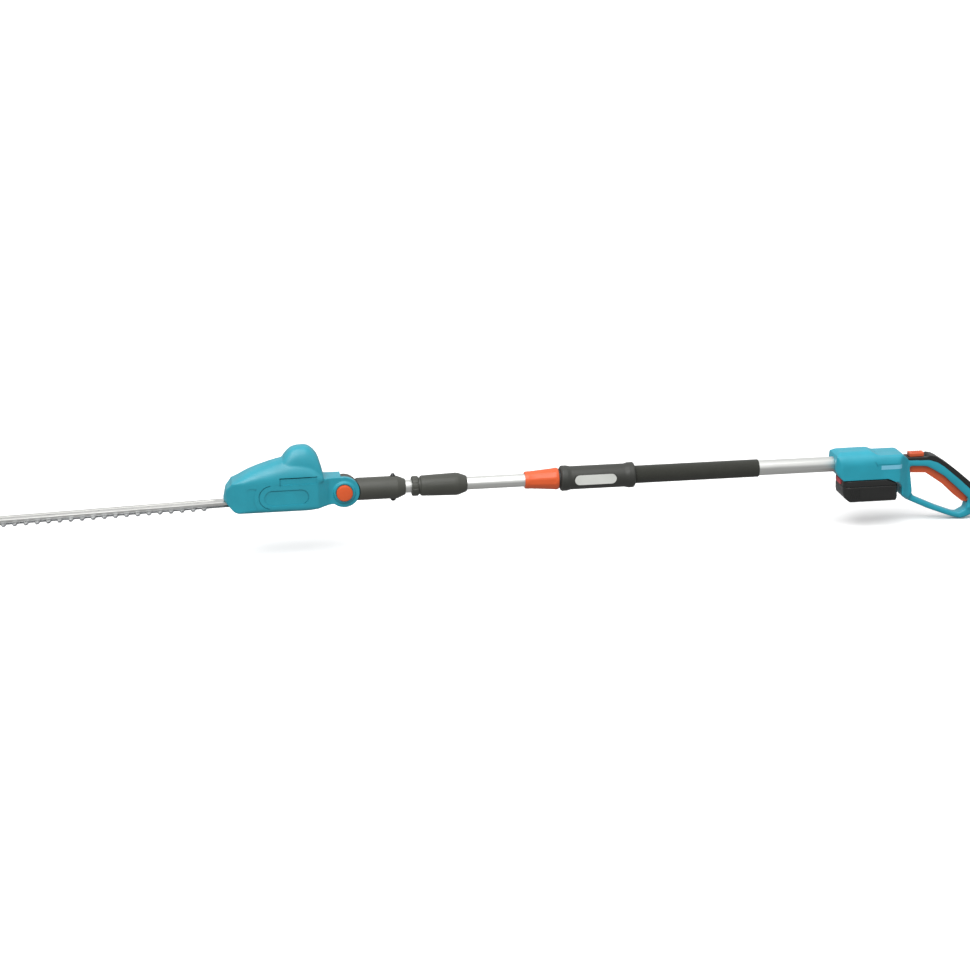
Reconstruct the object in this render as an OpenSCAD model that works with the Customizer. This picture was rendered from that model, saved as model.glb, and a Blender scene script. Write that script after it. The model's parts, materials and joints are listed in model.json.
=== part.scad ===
// Cordless telescopic pole hedge trimmer.
// The origin is on the pole's axis, in the middle of the bare stretch of the outer tube.
// +X runs along the pole to the handle, +Z is up and -Y is the side with the tilt button.

/* [Pole] */
// Outer diameter of the outer tube
outer_tube_d = 30; // [28:0.5:36]
// Wall of both tubes
tube_wall = 1.5; // [1.2:0.1:2]
// Gap between the two tubes, filled by the guide and the collet
tube_gap = 1; // [0.8:0.1:2]
// Length of bare outer tube between the foam and the rear housing
bare_len = 152; // [100:1:250]
// Length of the foam grip
foam_len = 250; // [150:1:320]
// Thickness of the foam
foam_wall = 2.5; // [2:0.5:5]
// Length of the moulded front grip
grip_len = 148; // [120:1:200]
// Diameter of the front grip at its waist
grip_waist_d = 46; // [44:1:56]
// Length of the clamp sleeve
clamp_len = 66; // [58:1:90]
// Length of inner tube that shows while the pole is short
inner_show = 114; // [60:1:200]
// How far the inner tube reaches back inside the outer tube
inner_reach = 430; // [380:1:470]

/* [Coupling] */
// Length of the coupling sleeve
sleeve_len = 91; // [80:1:120]
// Largest diameter of the coupling sleeve
sleeve_d = 44; // [40:1:50]
// Length of the union nut
nut_len = 13; // [12:1:20]
// Wall of the union nut over its thread
nut_wall = 3.2; // [2.8:0.1:5]

/* [Neck] */
// Length of the neck from the tilt pivot
neck_len = 120; // [105:1:150]
// Diameter of the neck
neck_d = 44; // [42:1:50]
// Radius of the tongue that turns between the ears
tongue_r = 28.5; // [26:0.5:32]
// Thickness of the tongue
tongue_t = 25; // [20:1:27]
// Diameter of the hinge bolt
hinge_d = 10; // [8:1:12]

/* [Trimmer head] */
// Full width of the head
head_w = 72; // [70:1:90]
// Wall of the moulded shells
shell_wall = 3; // [2.5:0.1:3.5]
// Diameter of the tilt button
button_d = 31; // [26:1:32]
// Travel of the tilt button
button_travel = 5; // [3:0.5:6]

/* [Knife] */
// Number of teeth along each edge of a blade
tooth_count = 20; // [12:1:24]
// Distance between teeth
tooth_pitch = 21; // [18:0.5:25]
// Length of a tooth beyond the spine
tooth_len = 14; // [10:1:18]
// Width of the guide bar
bar_w = 28; // [26:1:34]
// Thickness of the guide bar
bar_t = 6.5; // [4:0.5:8]
// Thickness of each blade
blade_t = 2; // [1.5:0.1:2.5]
// Travel of a blade each way from the middle
stroke = 5; // [4:0.5:6]
// Slope of the knife below the head, in degrees
knife_rake = 1.6; // [0:0.1:3]

/* [Drive] */
// Teeth on the crank gear
gear_teeth = 66; // [54:1:66]
// Teeth on the motor pinion
pinion_teeth = 12; // [11:1:14]
// Tooth module of both gears
gear_module = 0.9; // [0.8:0.05:0.9]
// Diameter of the motor
motor_d = 42; // [36:1:44]
// Length of the motor can
motor_len = 58; // [45:1:60]

/* [Rear housing] */
// Length of the rear housing from its front to the handle's root
housing_len = 150; // [140:1:180]
// Full width of the rear housing
housing_w = 72; // [68:1:84]
// Full width of the upper handle arm
handle_w = 34; // [30:1:40]
// Full width of the lower handle arm
arm_w = 22; // [18:1:30]
// Thickness of the soft grip skin
skin_t = 2.5; // [2:0.5:3]
// Width of the trigger lever
trigger_w = 16; // [12:1:20]

/* [Battery] */
// Length of the battery
battery_len = 112; // [100:1:146]
// Width of the battery
battery_w = 74; // [72:1:90]
// Height of the battery below the housing
battery_h = 45; // [36:1:60]
// Diameter of a cell
cell_d = 18.4; // [17:0.1:19]
// Length of a cell
cell_len = 65; // [60:1:66]

/* [Hidden] */
$fn = 64;
eps = 0.01;
far = 900;

// Clearances
run_gap = 0.05;
slide_gap = 0.3;
loose_gap = 0.6;

// Stations along the pole
bare_half = bare_len / 2;
foam_x0 = -bare_half - foam_len;
grip_x0 = foam_x0 - grip_len;
grip_gap = 4;
clamp_x1 = grip_x0 - grip_gap;
clamp_x0 = clamp_x1 - clamp_len;
sleeve_x1 = clamp_x0 - inner_show;
sleeve_x0 = sleeve_x1 - sleeve_len;
nut_groove = 4;
nut_x1 = sleeve_x0 - nut_groove;
nut_x0 = nut_x1 - nut_len;
stub_show = 12;
neck_x1 = nut_x0 - stub_show;
pivot_x = neck_x1 - neck_len;
housing_x0 = bare_half;

// Tubes
outer_tube_r = outer_tube_d / 2;
outer_bore_r = outer_tube_r - tube_wall;
inner_tube_r = outer_bore_r - tube_gap;
inner_bore_r = inner_tube_r - tube_wall;
outer_tube_x0 = clamp_x1 - 27;
outer_tube_x1 = housing_x0 + 86;
inner_tube_x0 = sleeve_x0 + 20;
inner_tube_x1 = clamp_x1 + inner_reach;
guide_len = 30;
guide_lip = 5;

// Clamp
collet_r = outer_tube_r + 2;
collet_nose_r = inner_tube_r + 2;
collet_x0 = clamp_x0 + 5;
collet_slits = 4;
clamp_front_r = collet_nose_r + 2.2;
clamp_rear_r = collet_r + 4.6;

// Front grip
grip_end_r = grip_waist_d / 2 + 2;
grip_waist_r = grip_waist_d / 2;
badge_len = 85;
badge_w = 22;
badge_t = 1.6;
badge_y = -grip_waist_r + 0.4;
badge_x = grip_x0 + 68;

// Coupling
sleeve_r = sleeve_d / 2;
spigot_r = inner_tube_r + 3.5;
stub_x0 = pivot_x + 58;
stub_x1 = sleeve_x0 + 10;
nut_r = spigot_r + slide_gap + nut_wall;
plug_len = 26;
pin_r = 1.25;
pin_len = 9;

// Neck and tilt hinge, measured from the pivot
tongue_y1 = tongue_t / 2 + 3.4;
tongue_y0 = tongue_y1 - tongue_t;
ear_r = 30;
ear_gap = 0.3;
slot_y0 = tongue_y0 - ear_gap;
slot_y1 = tongue_y1 + ear_gap;
near_ear_y = slot_y0 - 10.5;
far_ear_y = slot_y1 + 10.5;
far_ear_r = 22;
slot_r = tongue_r + 0.8;
neck_clear_r = ear_r + 1;
cross_x = 96;
cross_r = 2.5;
hinge_r = hinge_d / 2;
hinge_head_r = hinge_r + 5;
hinge_head_t = 4;
hinge_nut_r = 8;
hinge_nut_t = 4;

// Tilt button
button_r = button_d / 2;
button_pocket_r = button_r + slide_gap;
button_proud = 10;
button_web = 3;
button_y0 = near_ear_y - button_proud;
button_y1 = slot_y0 - button_web - button_travel - slide_gap;
collar_r = button_pocket_r + 5;
collar_proud = 4;
lock_r = 13;
lock_t = 4;
lock_pin_r = 1.5;
lock_pin_x = 10;

// Head outline, side view, measured from the pivot
head_bottom = -30;
head_side = [
    [-232, -4], [-226, 18], [-213, 31], [-180, 50], [-147, 62], [-116, 70], [-109, 81],
    [-100, 89], [-82, 94], [-69, 93], [-57, 84], [-48, 70], [-40, 42], [-38, ear_r],
    [-5, ear_r], [-5, -22], [-34, -23.5], [-66, head_bottom + 1], [-76, head_bottom],
    [-204, head_bottom], [-213, -26], [-223, -15]
];
head_half = head_w / 2;
head_plan = [
    [-233, 0], [-232, 9], [-226, 20], [-214, 29], [-192, head_half - 1.5], [-170, head_half],
    [-54, head_half], [-30, far_ear_y], [0, far_ear_y], [0, near_ear_y], [-28, near_ear_y],
    [-52, -head_half], [-170, -head_half], [-192, -head_half + 1.5], [-214, -29],
    [-226, -20], [-232, -9]
];
hump_half = 30;
hump_z = 70;
head_rear_wall = -38;
edge_r = 10;
hump_edge_r = 18;

// Screws through the head, [x, z] from the pivot
head_screw_places = [[-200, -24.5], [-190, 34], [-128, 55], [-60, 77], [-47, 30], [-78, -24]];
screw_r = 1.6;
screw_head_r = 3.4;
boss_r = 5;
head_screw_y = 22;
head_screw_tip = -14;

// Drive, measured from the crank's axis on the knife's own slope
pitch_r_gear = gear_module * gear_teeth / 2;
pitch_r_pinion = gear_module * pinion_teeth / 2;
centre_dist = pitch_r_gear + pitch_r_pinion;
motor_from_pivot = -76;
crank_from_pivot = motor_from_pivot - centre_dist;
nose_x = -232;
bar_z_at_nose = -8;
crank_z = bar_z_at_nose + (crank_from_pivot - nose_x) * tan(knife_rake);
blade_gap = 0.2;
upper_z = -bar_t - blade_gap - blade_t;
lower_z = upper_z - blade_gap - blade_t;
knife_x1 = -42;
first_tooth = nose_x - 37.5 - crank_from_pivot;
last_tooth = first_tooth - (tooth_count - 1) * tooth_pitch;
bar_tip_x = last_tooth - 18;
spine_half = bar_w / 2 + 0.5;
tooth_root_w = 11;
tooth_tip_w = 5;
crank_r = 4;
cam_r = 9;
yoke_eye_r = cam_r + 2 * stroke + loose_gap;
yoke_wall = 5;
gear_z = 4;
gear_t = 8;
floor_t = 3;
deck_z = gear_z + gear_t + 2;
deck_t = 3;
bearing_r = 11;
bearing_t = 7;
boss_wall = 3.5;
spacer_r = 4;
bolt_r = 2;
bolt_head_t = 1.8;
bolt_count = 5;
bolt_step = (last_tooth - first_tooth + tooth_pitch) / (bolt_count - 1);
function bolt_x(i) = first_tooth - tooth_pitch / 2 + i * bolt_step;
case_half = head_half - shell_wall - 2;
base_z = lower_z - 3.5;
base_t = 1.5;
shaft_r = 2.5;
root_bolt_x = -75;
bolt_places = concat([root_bolt_x], [for (i = [0 : bolt_count - 1]) bolt_x(i)]);

// Rear housing, measured from its front face
tail_x = housing_len;
top_front_z = outer_tube_r + 14;
top_rear_z = outer_tube_r + 5.5;
floor_z = -outer_tube_r - 12;
housing_half = housing_w / 2;
handle_half = handle_w / 2;
arm_half = arm_w / 2;
trigger_half = trigger_w / 2;
body_side = [
    [0, -8], [0, 12], [2, 22], [9, top_front_z - 1], [72, top_front_z], [86, top_rear_z],
    [tail_x - 14, top_rear_z], [tail_x, 8], [tail_x + 5, -8], [tail_x + 12, -62],
    [tail_x + 4, -78], [tail_x - 14, -66], [tail_x - 14, floor_z - 20],
    [tail_x - 22, floor_z - 10], [tail_x - 45, floor_z], [14, floor_z], [5, floor_z + 8]
];
body_plan = [
    [0, -housing_half + 9], [9, -housing_half], [tail_x - 22, -housing_half],
    [tail_x + 2, -handle_half], [tail_x + 14, -handle_half], [tail_x + 14, handle_half],
    [tail_x + 2, handle_half], [tail_x - 22, housing_half], [9, housing_half],
    [0, housing_half - 9]
];

// Handle, measured from the handle's root at the housing's tail
grip_top = [
    [0, 8.5], [40, 8.5], [46, 12], [56, 10], [64, 6], [86, -9], [108, -26.5], [137, -52],
    [155, -69], [164, -82], [166, -92]
];
grip_line = [
    [158, -92], [154, -84], [137, -67], [108, -40], [77, -13.5], [61, -3], [46, 2], [0, 4]
];
arm_under = [
    [0, -8.6], [40, -11], [52, -17], [77, -33], [104, -58], [128, -81], [134, -92], [126, -104]
];
loop_end = [[166, -92], [162, -102], [148, -112], [128, -121], [114, -124.5]];
lower_top = [[112, -111], [104, -111.5], [67, -97], [18, -74], [12, -64]];
lower_under = [[98, -120.5], [45, -99.6], [-1, -77.7], [-12, -66]];

// Handle outlines joined into the pieces they bound
arm_line = concat(grip_top, [[158, -98]], backwards(arm_under), [[-16, -8.6], [-16, 8.5]]);
teal_line = concat(backwards(grip_line), [[150, -103]], backwards(arm_under),
    [[-16, -8.6], [-16, 4]]);
end_line = concat([[128, -81], [158, -92]], loop_end, [[112, -111], [126, -104]]);
lower_line = concat([[126, -104]], lower_top, [[-12, -60]], backwards(lower_under),
    [[114, -124.5], [128, -121]]);
trigger_space_line = [
    [-2, -26], [-2, -4], [8, 1.5], [41, 0.5], [55, -8], [80, -25], [107, -50], [126, -70],
    [137, -80], [137, -92], [120, -93], [100, -76], [77, -56], [40, -30]
];
// [x, z, y of the head, y of the tip], measured from the housing's front
rear_screw_places = [
    [16, outer_tube_r + 5.5, 20, -14], [64, outer_tube_r + 5.5, 20, -14],
    [tail_x - 38, 11, 20, -14], [tail_x - 3, -50, 14, -12],
    [tail_x + 92, -31, 10, -10], [tail_x + 46, -94, 8, -8], [tail_x + 148, -99, 10, -10]
];
rib_places = [14, 48, 81];

// Trigger lever, measured from the handle's root
trigger_root = 5.5;
trigger_top = [
    [trigger_root, -6.5], [40, -8.5], [52, -14.5], [77, -30.5], [104, -55.5], [129, -78.5]
];
trigger_under = [
    [125, -89.5], [118, -88.5], [104, -77.5], [77, -51.5], [40, -25.5], [trigger_root, -23.5]
];
trigger_pivot = [128, -84];
trigger_boss_r = 6;
trigger_pin_r = 2;

// Safety slide
slide_len = 29;
slide_x = 6;
slide_half = 9;
slide_travel = 6;
slide_top = 17;

// Battery
battery_x1 = housing_x0 + tail_x - 23;
battery_x0 = battery_x1 - battery_len;
battery_half = battery_w / 2;
battery_top = floor_z - 1;
battery_z0 = battery_top - battery_h;
lid_h = 12;
case_wall = 2.5;
rail_half = 19;
rail_lip = 4;
rail_h = 3;
rail_x0 = battery_x0 + 22;
rail_x1 = battery_x1 - 4;
rail_roof = battery_top + 2 * rail_h;
cell_gap = 0.8;
cell_count = floor((battery_len - 2 * case_wall - 10) / (cell_d + cell_gap));
latch_half = 14;
latch_travel = 3;
// Outline from the battery's front top corner; its rear corner clears the housing's fillet
battery_side = [
    [0, -2], [5, 0], [battery_len - 25, 0], [battery_len - 2, -10.5], [battery_len, -13],
    [battery_len, -battery_h + 6], [battery_len - 5, -battery_h], [14, -battery_h],
    [3, -battery_h + 9], [0, -battery_h + 20]
];

// Shapes

module rod(x0, x1, r) {
    translate([x0, 0, 0]) rotate([0, 90, 0]) cylinder(r = r, h = x1 - x0);
}

module pipe(x0, x1, r_out, r_in) {
    difference() {
        rod(x0, x1, r_out);
        rod(x0 - 1, x1 + 1, r_in);
    }
}

// A solid turned about X from [x, radius] points
module turned(points) {
    rotate([0, 90, 0]) rotate_extrude() polygon([for (p = points) [p[1], p[0]]]);
}

// A prism along Y from an [x, z] outline
module side_prism(points, y0, y1) {
    translate([0, y1, 0]) rotate([90, 0, 0]) linear_extrude(y1 - y0) polygon(points);
}

// The same, with the outline moved inwards by a wall
module side_core(points, wall, y0, y1) {
    translate([0, y1, 0]) rotate([90, 0, 0]) linear_extrude(y1 - y0)
        offset(delta = -wall) polygon(points);
}

// A prism along Z from an [x, y] outline, moved inwards by a wall
module plan_prism(points, wall, z0, z1) {
    translate([0, 0, z0]) linear_extrude(z1 - z0) offset(delta = -wall) polygon(points);
}

module pin_y(x, z, r, y0, y1) {
    translate([x, y1, z]) rotate([90, 0, 0]) cylinder(r = r, h = y1 - y0);
}

module pin_z(x, y, r, z0, z1) {
    translate([x, y, z0]) cylinder(r = r, h = z1 - z0);
}

module block(x0, x1, y0, y1, z0, z1) {
    translate([x0, y0, z0]) cube([x1 - x0, y1 - y0, z1 - z0]);
}

module rounded_square(w, h, r) {
    square([w - 2 * r, h], center = true);
    square([w, h - 2 * r], center = true);
    for (sx = [-1, 1], sy = [-1, 1])
        translate([sx * (w / 2 - r), sy * (h / 2 - r)]) circle(r);
}

// A bar along X whose section is a rounded rectangle
module rounded_bar(x0, x1, half, z0, z1, r) {
    translate([x0, 0, (z0 + z1) / 2]) rotate([90, 0, 90]) linear_extrude(x1 - x0)
        rounded_square(2 * half, z1 - z0, r);
}

module left_half() {
    intersection() {
        children();
        block(-2 * far, far, -far, 0, -far, far);
    }
}

module right_half() {
    intersection() {
        children();
        block(-2 * far, far, 0, far, -far, far);
    }
}

// A round wire wound about Z, from 0 up to h
module coil(r, wire_r, h, turns, sides = 6, steps = 14) {
    count = turns * steps;
    rise = (h - 2 * wire_r) / count;
    points = [
        for (i = [0 : count]) let (a = 360 * i / steps)
            for (j = [0 : sides - 1]) let (b = 360 * j / sides, rr = r - wire_r * cos(b))
                [rr * cos(a), rr * sin(a), wire_r + i * rise + wire_r * sin(b)]
    ];
    walls = [
        for (i = [0 : count - 1], j = [0 : sides - 1]) let (
            a = i * sides + j,
            b = i * sides + (j + 1) % sides
        ) each [[a, a + sides, b], [b, a + sides, b + sides]]
    ];
    first_cap = [[for (j = [0 : sides - 1]) j]];
    last_cap = [[for (j = [sides - 1 : -1 : 0]) count * sides + j]];
    polyhedron(points, concat(walls, first_cap, last_cap));
}

// A spur gear outline with straight-sided teeth, one tooth centred on +X
module gear_outline(teeth, module_size, turn = 0) {
    pitch_r = teeth * module_size / 2;
    tip_r = pitch_r + 0.9 * module_size;
    root_r = pitch_r - 1.15 * module_size;
    step = 360 / teeth;
    polygon([
        for (i = [0 : teeth - 1]) let (a = turn + i * step) each [
            [root_r * cos(a - 0.26 * step), root_r * sin(a - 0.26 * step)],
            [tip_r * cos(a - 0.1 * step), tip_r * sin(a - 0.1 * step)],
            [tip_r * cos(a + 0.1 * step), tip_r * sin(a + 0.1 * step)],
            [root_r * cos(a + 0.26 * step), root_r * sin(a + 0.26 * step)]
        ]
    ]);
}

module at_pivot() translate([pivot_x, 0, 0]) children();
module at_crank() at_pivot() translate([crank_from_pivot, 0, crank_z])
    rotate([0, -knife_rake, 0]) children();
module at_housing() translate([housing_x0, 0, 0]) children();
module at_handle() translate([housing_x0 + tail_x, 0, 0]) children();

// Pole

module outer_tube() {
    color("silver") pipe(outer_tube_x0, outer_tube_x1, outer_tube_r, outer_bore_r);
}

module clamp_collet() {
    color("dimgray") difference() {
        union() {
            turned([
                [collet_x0, inner_tube_r + run_gap], [collet_x0, collet_nose_r - 0.5],
                [outer_tube_x0 - 4, collet_nose_r], [outer_tube_x0, collet_r],
                [clamp_x1, collet_r], [clamp_x1, outer_tube_r],
                [outer_tube_x0, outer_tube_r], [outer_tube_x0, inner_tube_r + run_gap]
            ]);
        }
        for (i = [0 : collet_slits - 1]) rotate([45 + i * 360 / collet_slits, 0, 0])
            block(collet_x0 - 1, outer_tube_x0 - 6, -0.75, 0.75, 0, collet_r + 1);
    }
}

module front_grip() {
    color("dimgray") difference() {
        turned([
            [grip_x0, outer_tube_r], [grip_x0, grip_end_r - 3], [grip_x0 + 3, grip_end_r],
            [grip_x0 + 13, grip_end_r], [grip_x0 + 20, grip_waist_r],
            [foam_x0 - 20, grip_waist_r], [foam_x0 - 13, grip_end_r],
            [foam_x0 - 3, grip_end_r], [foam_x0, grip_end_r - 3], [foam_x0, outer_tube_r]
        ]);
        badge_space(0);
    }
}

// The badge's obround, from its back face outwards
module badge_space(inset) {
    y0 = badge_y - 2;
    y1 = badge_y + badge_t;
    half = badge_w / 2 - inset;
    reach = badge_len / 2 - badge_w / 2;
    block(badge_x - reach, badge_x + reach, y0, y1, -half, half);
    for (s = [-1, 1]) pin_y(badge_x + s * reach, 0, half, y0, y1);
}

module grip_badge() {
    color("slategray") intersection() {
        badge_space(0.4);
        block(badge_x - badge_len, badge_x + badge_len, badge_y, 0, -badge_w, badge_w);
    }
}

module foam_grip() {
    color([0.16, 0.16, 0.14]) turned([
        [foam_x0, outer_tube_r], [foam_x0, outer_tube_r + foam_wall - 1],
        [foam_x0 + 1, outer_tube_r + foam_wall], [-bare_half - 1, outer_tube_r + foam_wall],
        [-bare_half, outer_tube_r + foam_wall - 1], [-bare_half, outer_tube_r]
    ]);
}

module clamp_sleeve() {
    mouth = inner_tube_r + loose_gap;
    nose_bore = collet_nose_r + loose_gap;
    rear_bore = collet_r + slide_gap;
    color([0.92, 0.39, 0.17]) turned([
        [clamp_x0, mouth], [clamp_x0, clamp_front_r - 1], [clamp_x0 + 1, clamp_front_r],
        [clamp_x1 - 4, clamp_rear_r], [clamp_x1, clamp_rear_r - 1], [clamp_x1, rear_bore],
        [outer_tube_x0 - 5, rear_bore], [outer_tube_x0 - 9, nose_bore],
        [collet_x0 - 1, nose_bore], [collet_x0 - 1, mouth]
    ]);
}

module inner_tube() {
    color("silver") pipe(inner_tube_x0, inner_tube_x1, inner_tube_r, inner_bore_r);
}

module tube_guide() {
    color("dimgray") turned([
        [inner_tube_x1 - guide_len, inner_bore_r - 2], [inner_tube_x1 - guide_len, inner_bore_r],
        [inner_tube_x1, inner_bore_r], [inner_tube_x1, outer_bore_r - run_gap],
        [inner_tube_x1 + guide_lip, outer_bore_r - run_gap],
        [inner_tube_x1 + guide_lip, inner_bore_r - 2]
    ]);
}

// The curly supply cable inside the tubes, as one sleeve of its outer diameter
module coiled_cable() {
    curl_r = inner_bore_r - 2.6;
    color([0.1, 0.1, 0.1]) pipe(
        inner_tube_x0 + plug_len + 4, outer_tube_x1 - 12, curl_r, curl_r - 4.2
    );
}

// Coupling

module coupling_sleeve() {
    color([0.31, 0.32, 0.29]) difference() {
        turned([
            [nut_x0 + 4, 0], [nut_x0 + 4, spigot_r], [nut_x1 + 0.5, spigot_r],
            [sleeve_x0, spigot_r + 1], [sleeve_x0, sleeve_r - 3.5], [sleeve_x0 + 3, sleeve_r - 2],
            [sleeve_x1 - 22, sleeve_r], [sleeve_x1 - 17, sleeve_r - 0.6],
            [sleeve_x1 - 3, sleeve_r - 5.5], [sleeve_x1, sleeve_r - 7.5], [sleeve_x1, 0]
        ]);
        rod(nut_x0, stub_x1, inner_tube_r);
        rod(stub_x1 - 1, inner_tube_x0 + 1, inner_bore_r - 2);
        rod(inner_tube_x0, sleeve_x1 + 1, inner_tube_r);
    }
}

module coupling_nut() {
    grips = 12;
    color([0.27, 0.28, 0.26]) difference() {
        turned([
            [nut_x0, inner_tube_r + slide_gap], [nut_x0, nut_r - 2], [nut_x0 + 2, nut_r],
            [nut_x1 - 1.5, nut_r], [nut_x1, nut_r - 1.5],
            [nut_x1, spigot_r + slide_gap], [nut_x0 + 3.5, spigot_r + slide_gap],
            [nut_x0 + 3.5, inner_tube_r + slide_gap]
        ]);
        for (i = [0 : grips - 1]) rotate([i * 360 / grips, 0, 0])
            translate([0, 0, nut_r + 2]) rod(nut_x0 - 1, nut_x1 + 1, 2.8);
    }
}

module stub_tube() {
    color("silver") pipe(stub_x0, stub_x1, inner_tube_r, inner_bore_r);
}

module coupling_plug() {
    color([0.15, 0.15, 0.15]) rod(stub_x1 - plug_len, stub_x1, inner_bore_r);
    color("gold") for (i = [0 : 2]) rotate([i * 120, 0, 0])
        translate([0, 0, 5]) rod(stub_x1 - 0.5, stub_x1 + pin_len, pin_r);
}

module coupling_socket() {
    web = inner_bore_r - 2;
    color([0.2, 0.2, 0.2]) difference() {
        union() {
            rod(stub_x1 + 0.5, inner_tube_x0, web);
            rod(inner_tube_x0, inner_tube_x0 + plug_len, inner_bore_r);
        }
        for (i = [0 : 2]) rotate([i * 120, 0, 0]) translate([0, 0, 5])
            rod(stub_x1, stub_x1 + pin_len + 2, pin_r + run_gap);
    }
}

// Neck

module neck() {
    neck_r = neck_d / 2;
    end_r = inner_tube_r + 2.5;
    color([0.31, 0.32, 0.29]) difference() {
        union() {
            at_pivot() difference() {
                turned([
                    [24, 0], [24, neck_r - 1], [26, neck_r], [neck_len - 16, neck_r],
                    [neck_len, end_r], [neck_len, 0]
                ]);
                pin_y(0, 0, neck_clear_r, -neck_r - 1, neck_r + 1);
            }
            at_pivot() pin_y(0, 0, tongue_r, tongue_y0, tongue_y1);
            at_pivot() block(0, neck_clear_r + 3, tongue_y0, tongue_y1, -17, 17);
            at_pivot() pin_z(cross_x, 0, 6, -neck_r - 0.8, neck_r + 0.8);
        }
        rod(stub_x0, neck_x1 + 1, inner_tube_r);
        rod(pivot_x + 40, stub_x0 + 1, inner_bore_r - 3);
        at_pivot() pin_y(0, 0, hinge_r + run_gap, tongue_y0 - 1, tongue_y1 + 1);
        at_pivot() pin_y(0, 0, lock_r + loose_gap, tongue_y0 - 1, tongue_y0 + lock_t + button_travel + 1);
        at_pivot() pin_z(cross_x, 0, cross_r, -neck_r - 5, neck_r + 5);
    }
}

module cross_bolt() {
    neck_r = neck_d / 2;
    color("gray") at_pivot() {
        pin_z(cross_x, 0, cross_r, -neck_r - 2, -inner_tube_r);
        intersection() {
            translate([cross_x, 0, -neck_r + 0.5]) sphere(6);
            pin_z(cross_x, 0, 5.5, -neck_r - 6, -neck_r - 0.8);
        }
    }
}

module cross_nut() {
    neck_r = neck_d / 2;
    color("gray") at_pivot() {
        pin_z(cross_x, 0, cross_r, inner_tube_r, neck_r + 2);
        translate([cross_x, 0, neck_r + 1.5]) cylinder(r1 = 5, r2 = 2.2, h = 4.5);
    }
}

// Trimmer head

// The head's outer body before it is hollowed, moved inwards by a wall
module head_form(wall) {
    soft = edge_r - wall / 2;
    intersection() {
        side_core(head_side, wall, -far, far);
        plan_prism(head_plan, wall, -far, far);
        union() {
            rounded_bar(-300, 10, head_half - wall, head_bottom + wall, hump_z - wall, soft);
            rounded_bar(-118 + wall, 10, hump_half - wall, -10, 94 - wall,
                hump_edge_r - wall);
        }
    }
}

// Slit in the nose for the bar and the sliding blades
module knife_slit() {
    half = spine_half + loose_gap;
    at_crank() {
        block(bar_tip_x, knife_x1, -bar_w / 2, bar_w / 2, -bar_t, 0);
        block(bar_tip_x, knife_x1, -half, half, lower_z - 1.2, -bar_t);
    }
}

module head_body() {
    wall_x = head_rear_wall;
    difference() {
        union() {
            at_pivot() difference() {
                head_form(0);
                difference() {
                    head_form(shell_wall);
                    block(wall_x, 40, -far, far, -far, far);
                }
            }
            at_pivot() pin_y(0, 0, ear_r, near_ear_y, slot_y0);
            at_pivot() pin_y(0, 0, collar_r, near_ear_y - collar_proud, near_ear_y + 1);
            at_pivot() pin_y(0, 0, far_ear_r, slot_y1, far_ear_y);
        }
        at_pivot() pin_y(0, 0, slot_r, slot_y0, slot_y1);
        knife_slit();
        at_pivot() pin_y(0, 0, button_pocket_r, near_ear_y - collar_proud - 1, slot_y0 - button_web);
        at_pivot() pin_y(0, 0, hinge_r, -far / 9, far / 9);
        at_pivot() pin_y(0, 0, hinge_head_r + slide_gap, far_ear_y - hinge_head_t, far_ear_y + 5);
        at_pivot() for (i = [0 : 2]) rotate([0, 60 + i * 120, 0])
            pin_y(lock_pin_x, 0, lock_pin_r + slide_gap, near_ear_y, slot_y0 + 1);
        head_vents();
    }
}

// Cooling slots in the far side of the hump
module head_vents() {
    at_pivot() for (i = [0 : 4]) block(
        -98 + i * 9, -94 + i * 9, hump_half - shell_wall - 3, hump_half + 5, 52, 72
    );
}

module head_bosses() {
    at_pivot() intersection() {
        for (p = head_screw_places) pin_y(p[0], p[1], boss_r, -head_half, head_half);
        head_form(shell_wall - eps);
    }
}

module screw_holes(places, y_head, y_tip) {
    for (p = places) {
        pin_y(p[0], p[1], screw_r, y_tip, y_head);
        pin_y(p[0], p[1], screw_head_r, y_head - 2.6, far / 9);
    }
}

module screw_set(places, y_head, y_tip) {
    for (p = places) {
        pin_y(p[0], p[1], screw_r, y_tip, y_head - 2);
        difference() {
            pin_y(p[0], p[1], screw_head_r - 0.2, y_head - 2.6, y_head);
            translate([p[0], y_head - 1, p[1]]) block(-2, 2, 0, 2, -0.5, 0.5);
        }
    }
}

module head_solid() {
    difference() {
        union() {
            head_body();
            head_bosses();
        }
        at_pivot() screw_holes(head_screw_places, head_screw_y, head_screw_tip);
        drive_space();
    }
}

// Room for the gear case and the knife root between the bosses
module drive_space() {
    at_crank() block(
        -40, centre_dist + 22, -case_half - 1, case_half + 1, base_z - 1, deck_z + deck_t + 1
    );
}

module head_shell_left() {
    color([0.25, 0.66, 0.72]) left_half() head_solid();
}

module head_shell_right() {
    color([0.25, 0.66, 0.72]) right_half() head_solid();
}

module head_screws() {
    color("gray") at_pivot() screw_set(head_screw_places, head_screw_y, head_screw_tip);
}

module hinge_bolt() {
    color("gray") at_pivot() difference() {
        union() {
            pin_y(0, 0, hinge_r, slot_y0 - button_web - hinge_nut_t, far_ear_y - eps);
            pin_y(0, 0, hinge_head_r, far_ear_y - hinge_head_t, far_ear_y);
        }
        translate([0, far_ear_y - 2.5, 0]) rotate([-90, 0, 0]) cylinder(r = 4, h = 5, $fn = 6);
    }
}

module hinge_nut() {
    color("silver") at_pivot() difference() {
        translate([0, slot_y0 - button_web, 0]) rotate([90, 0, 0])
            cylinder(r = hinge_nut_r, h = hinge_nut_t, $fn = 6);
        pin_y(0, 0, hinge_r, near_ear_y, slot_y0);
    }
}

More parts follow.
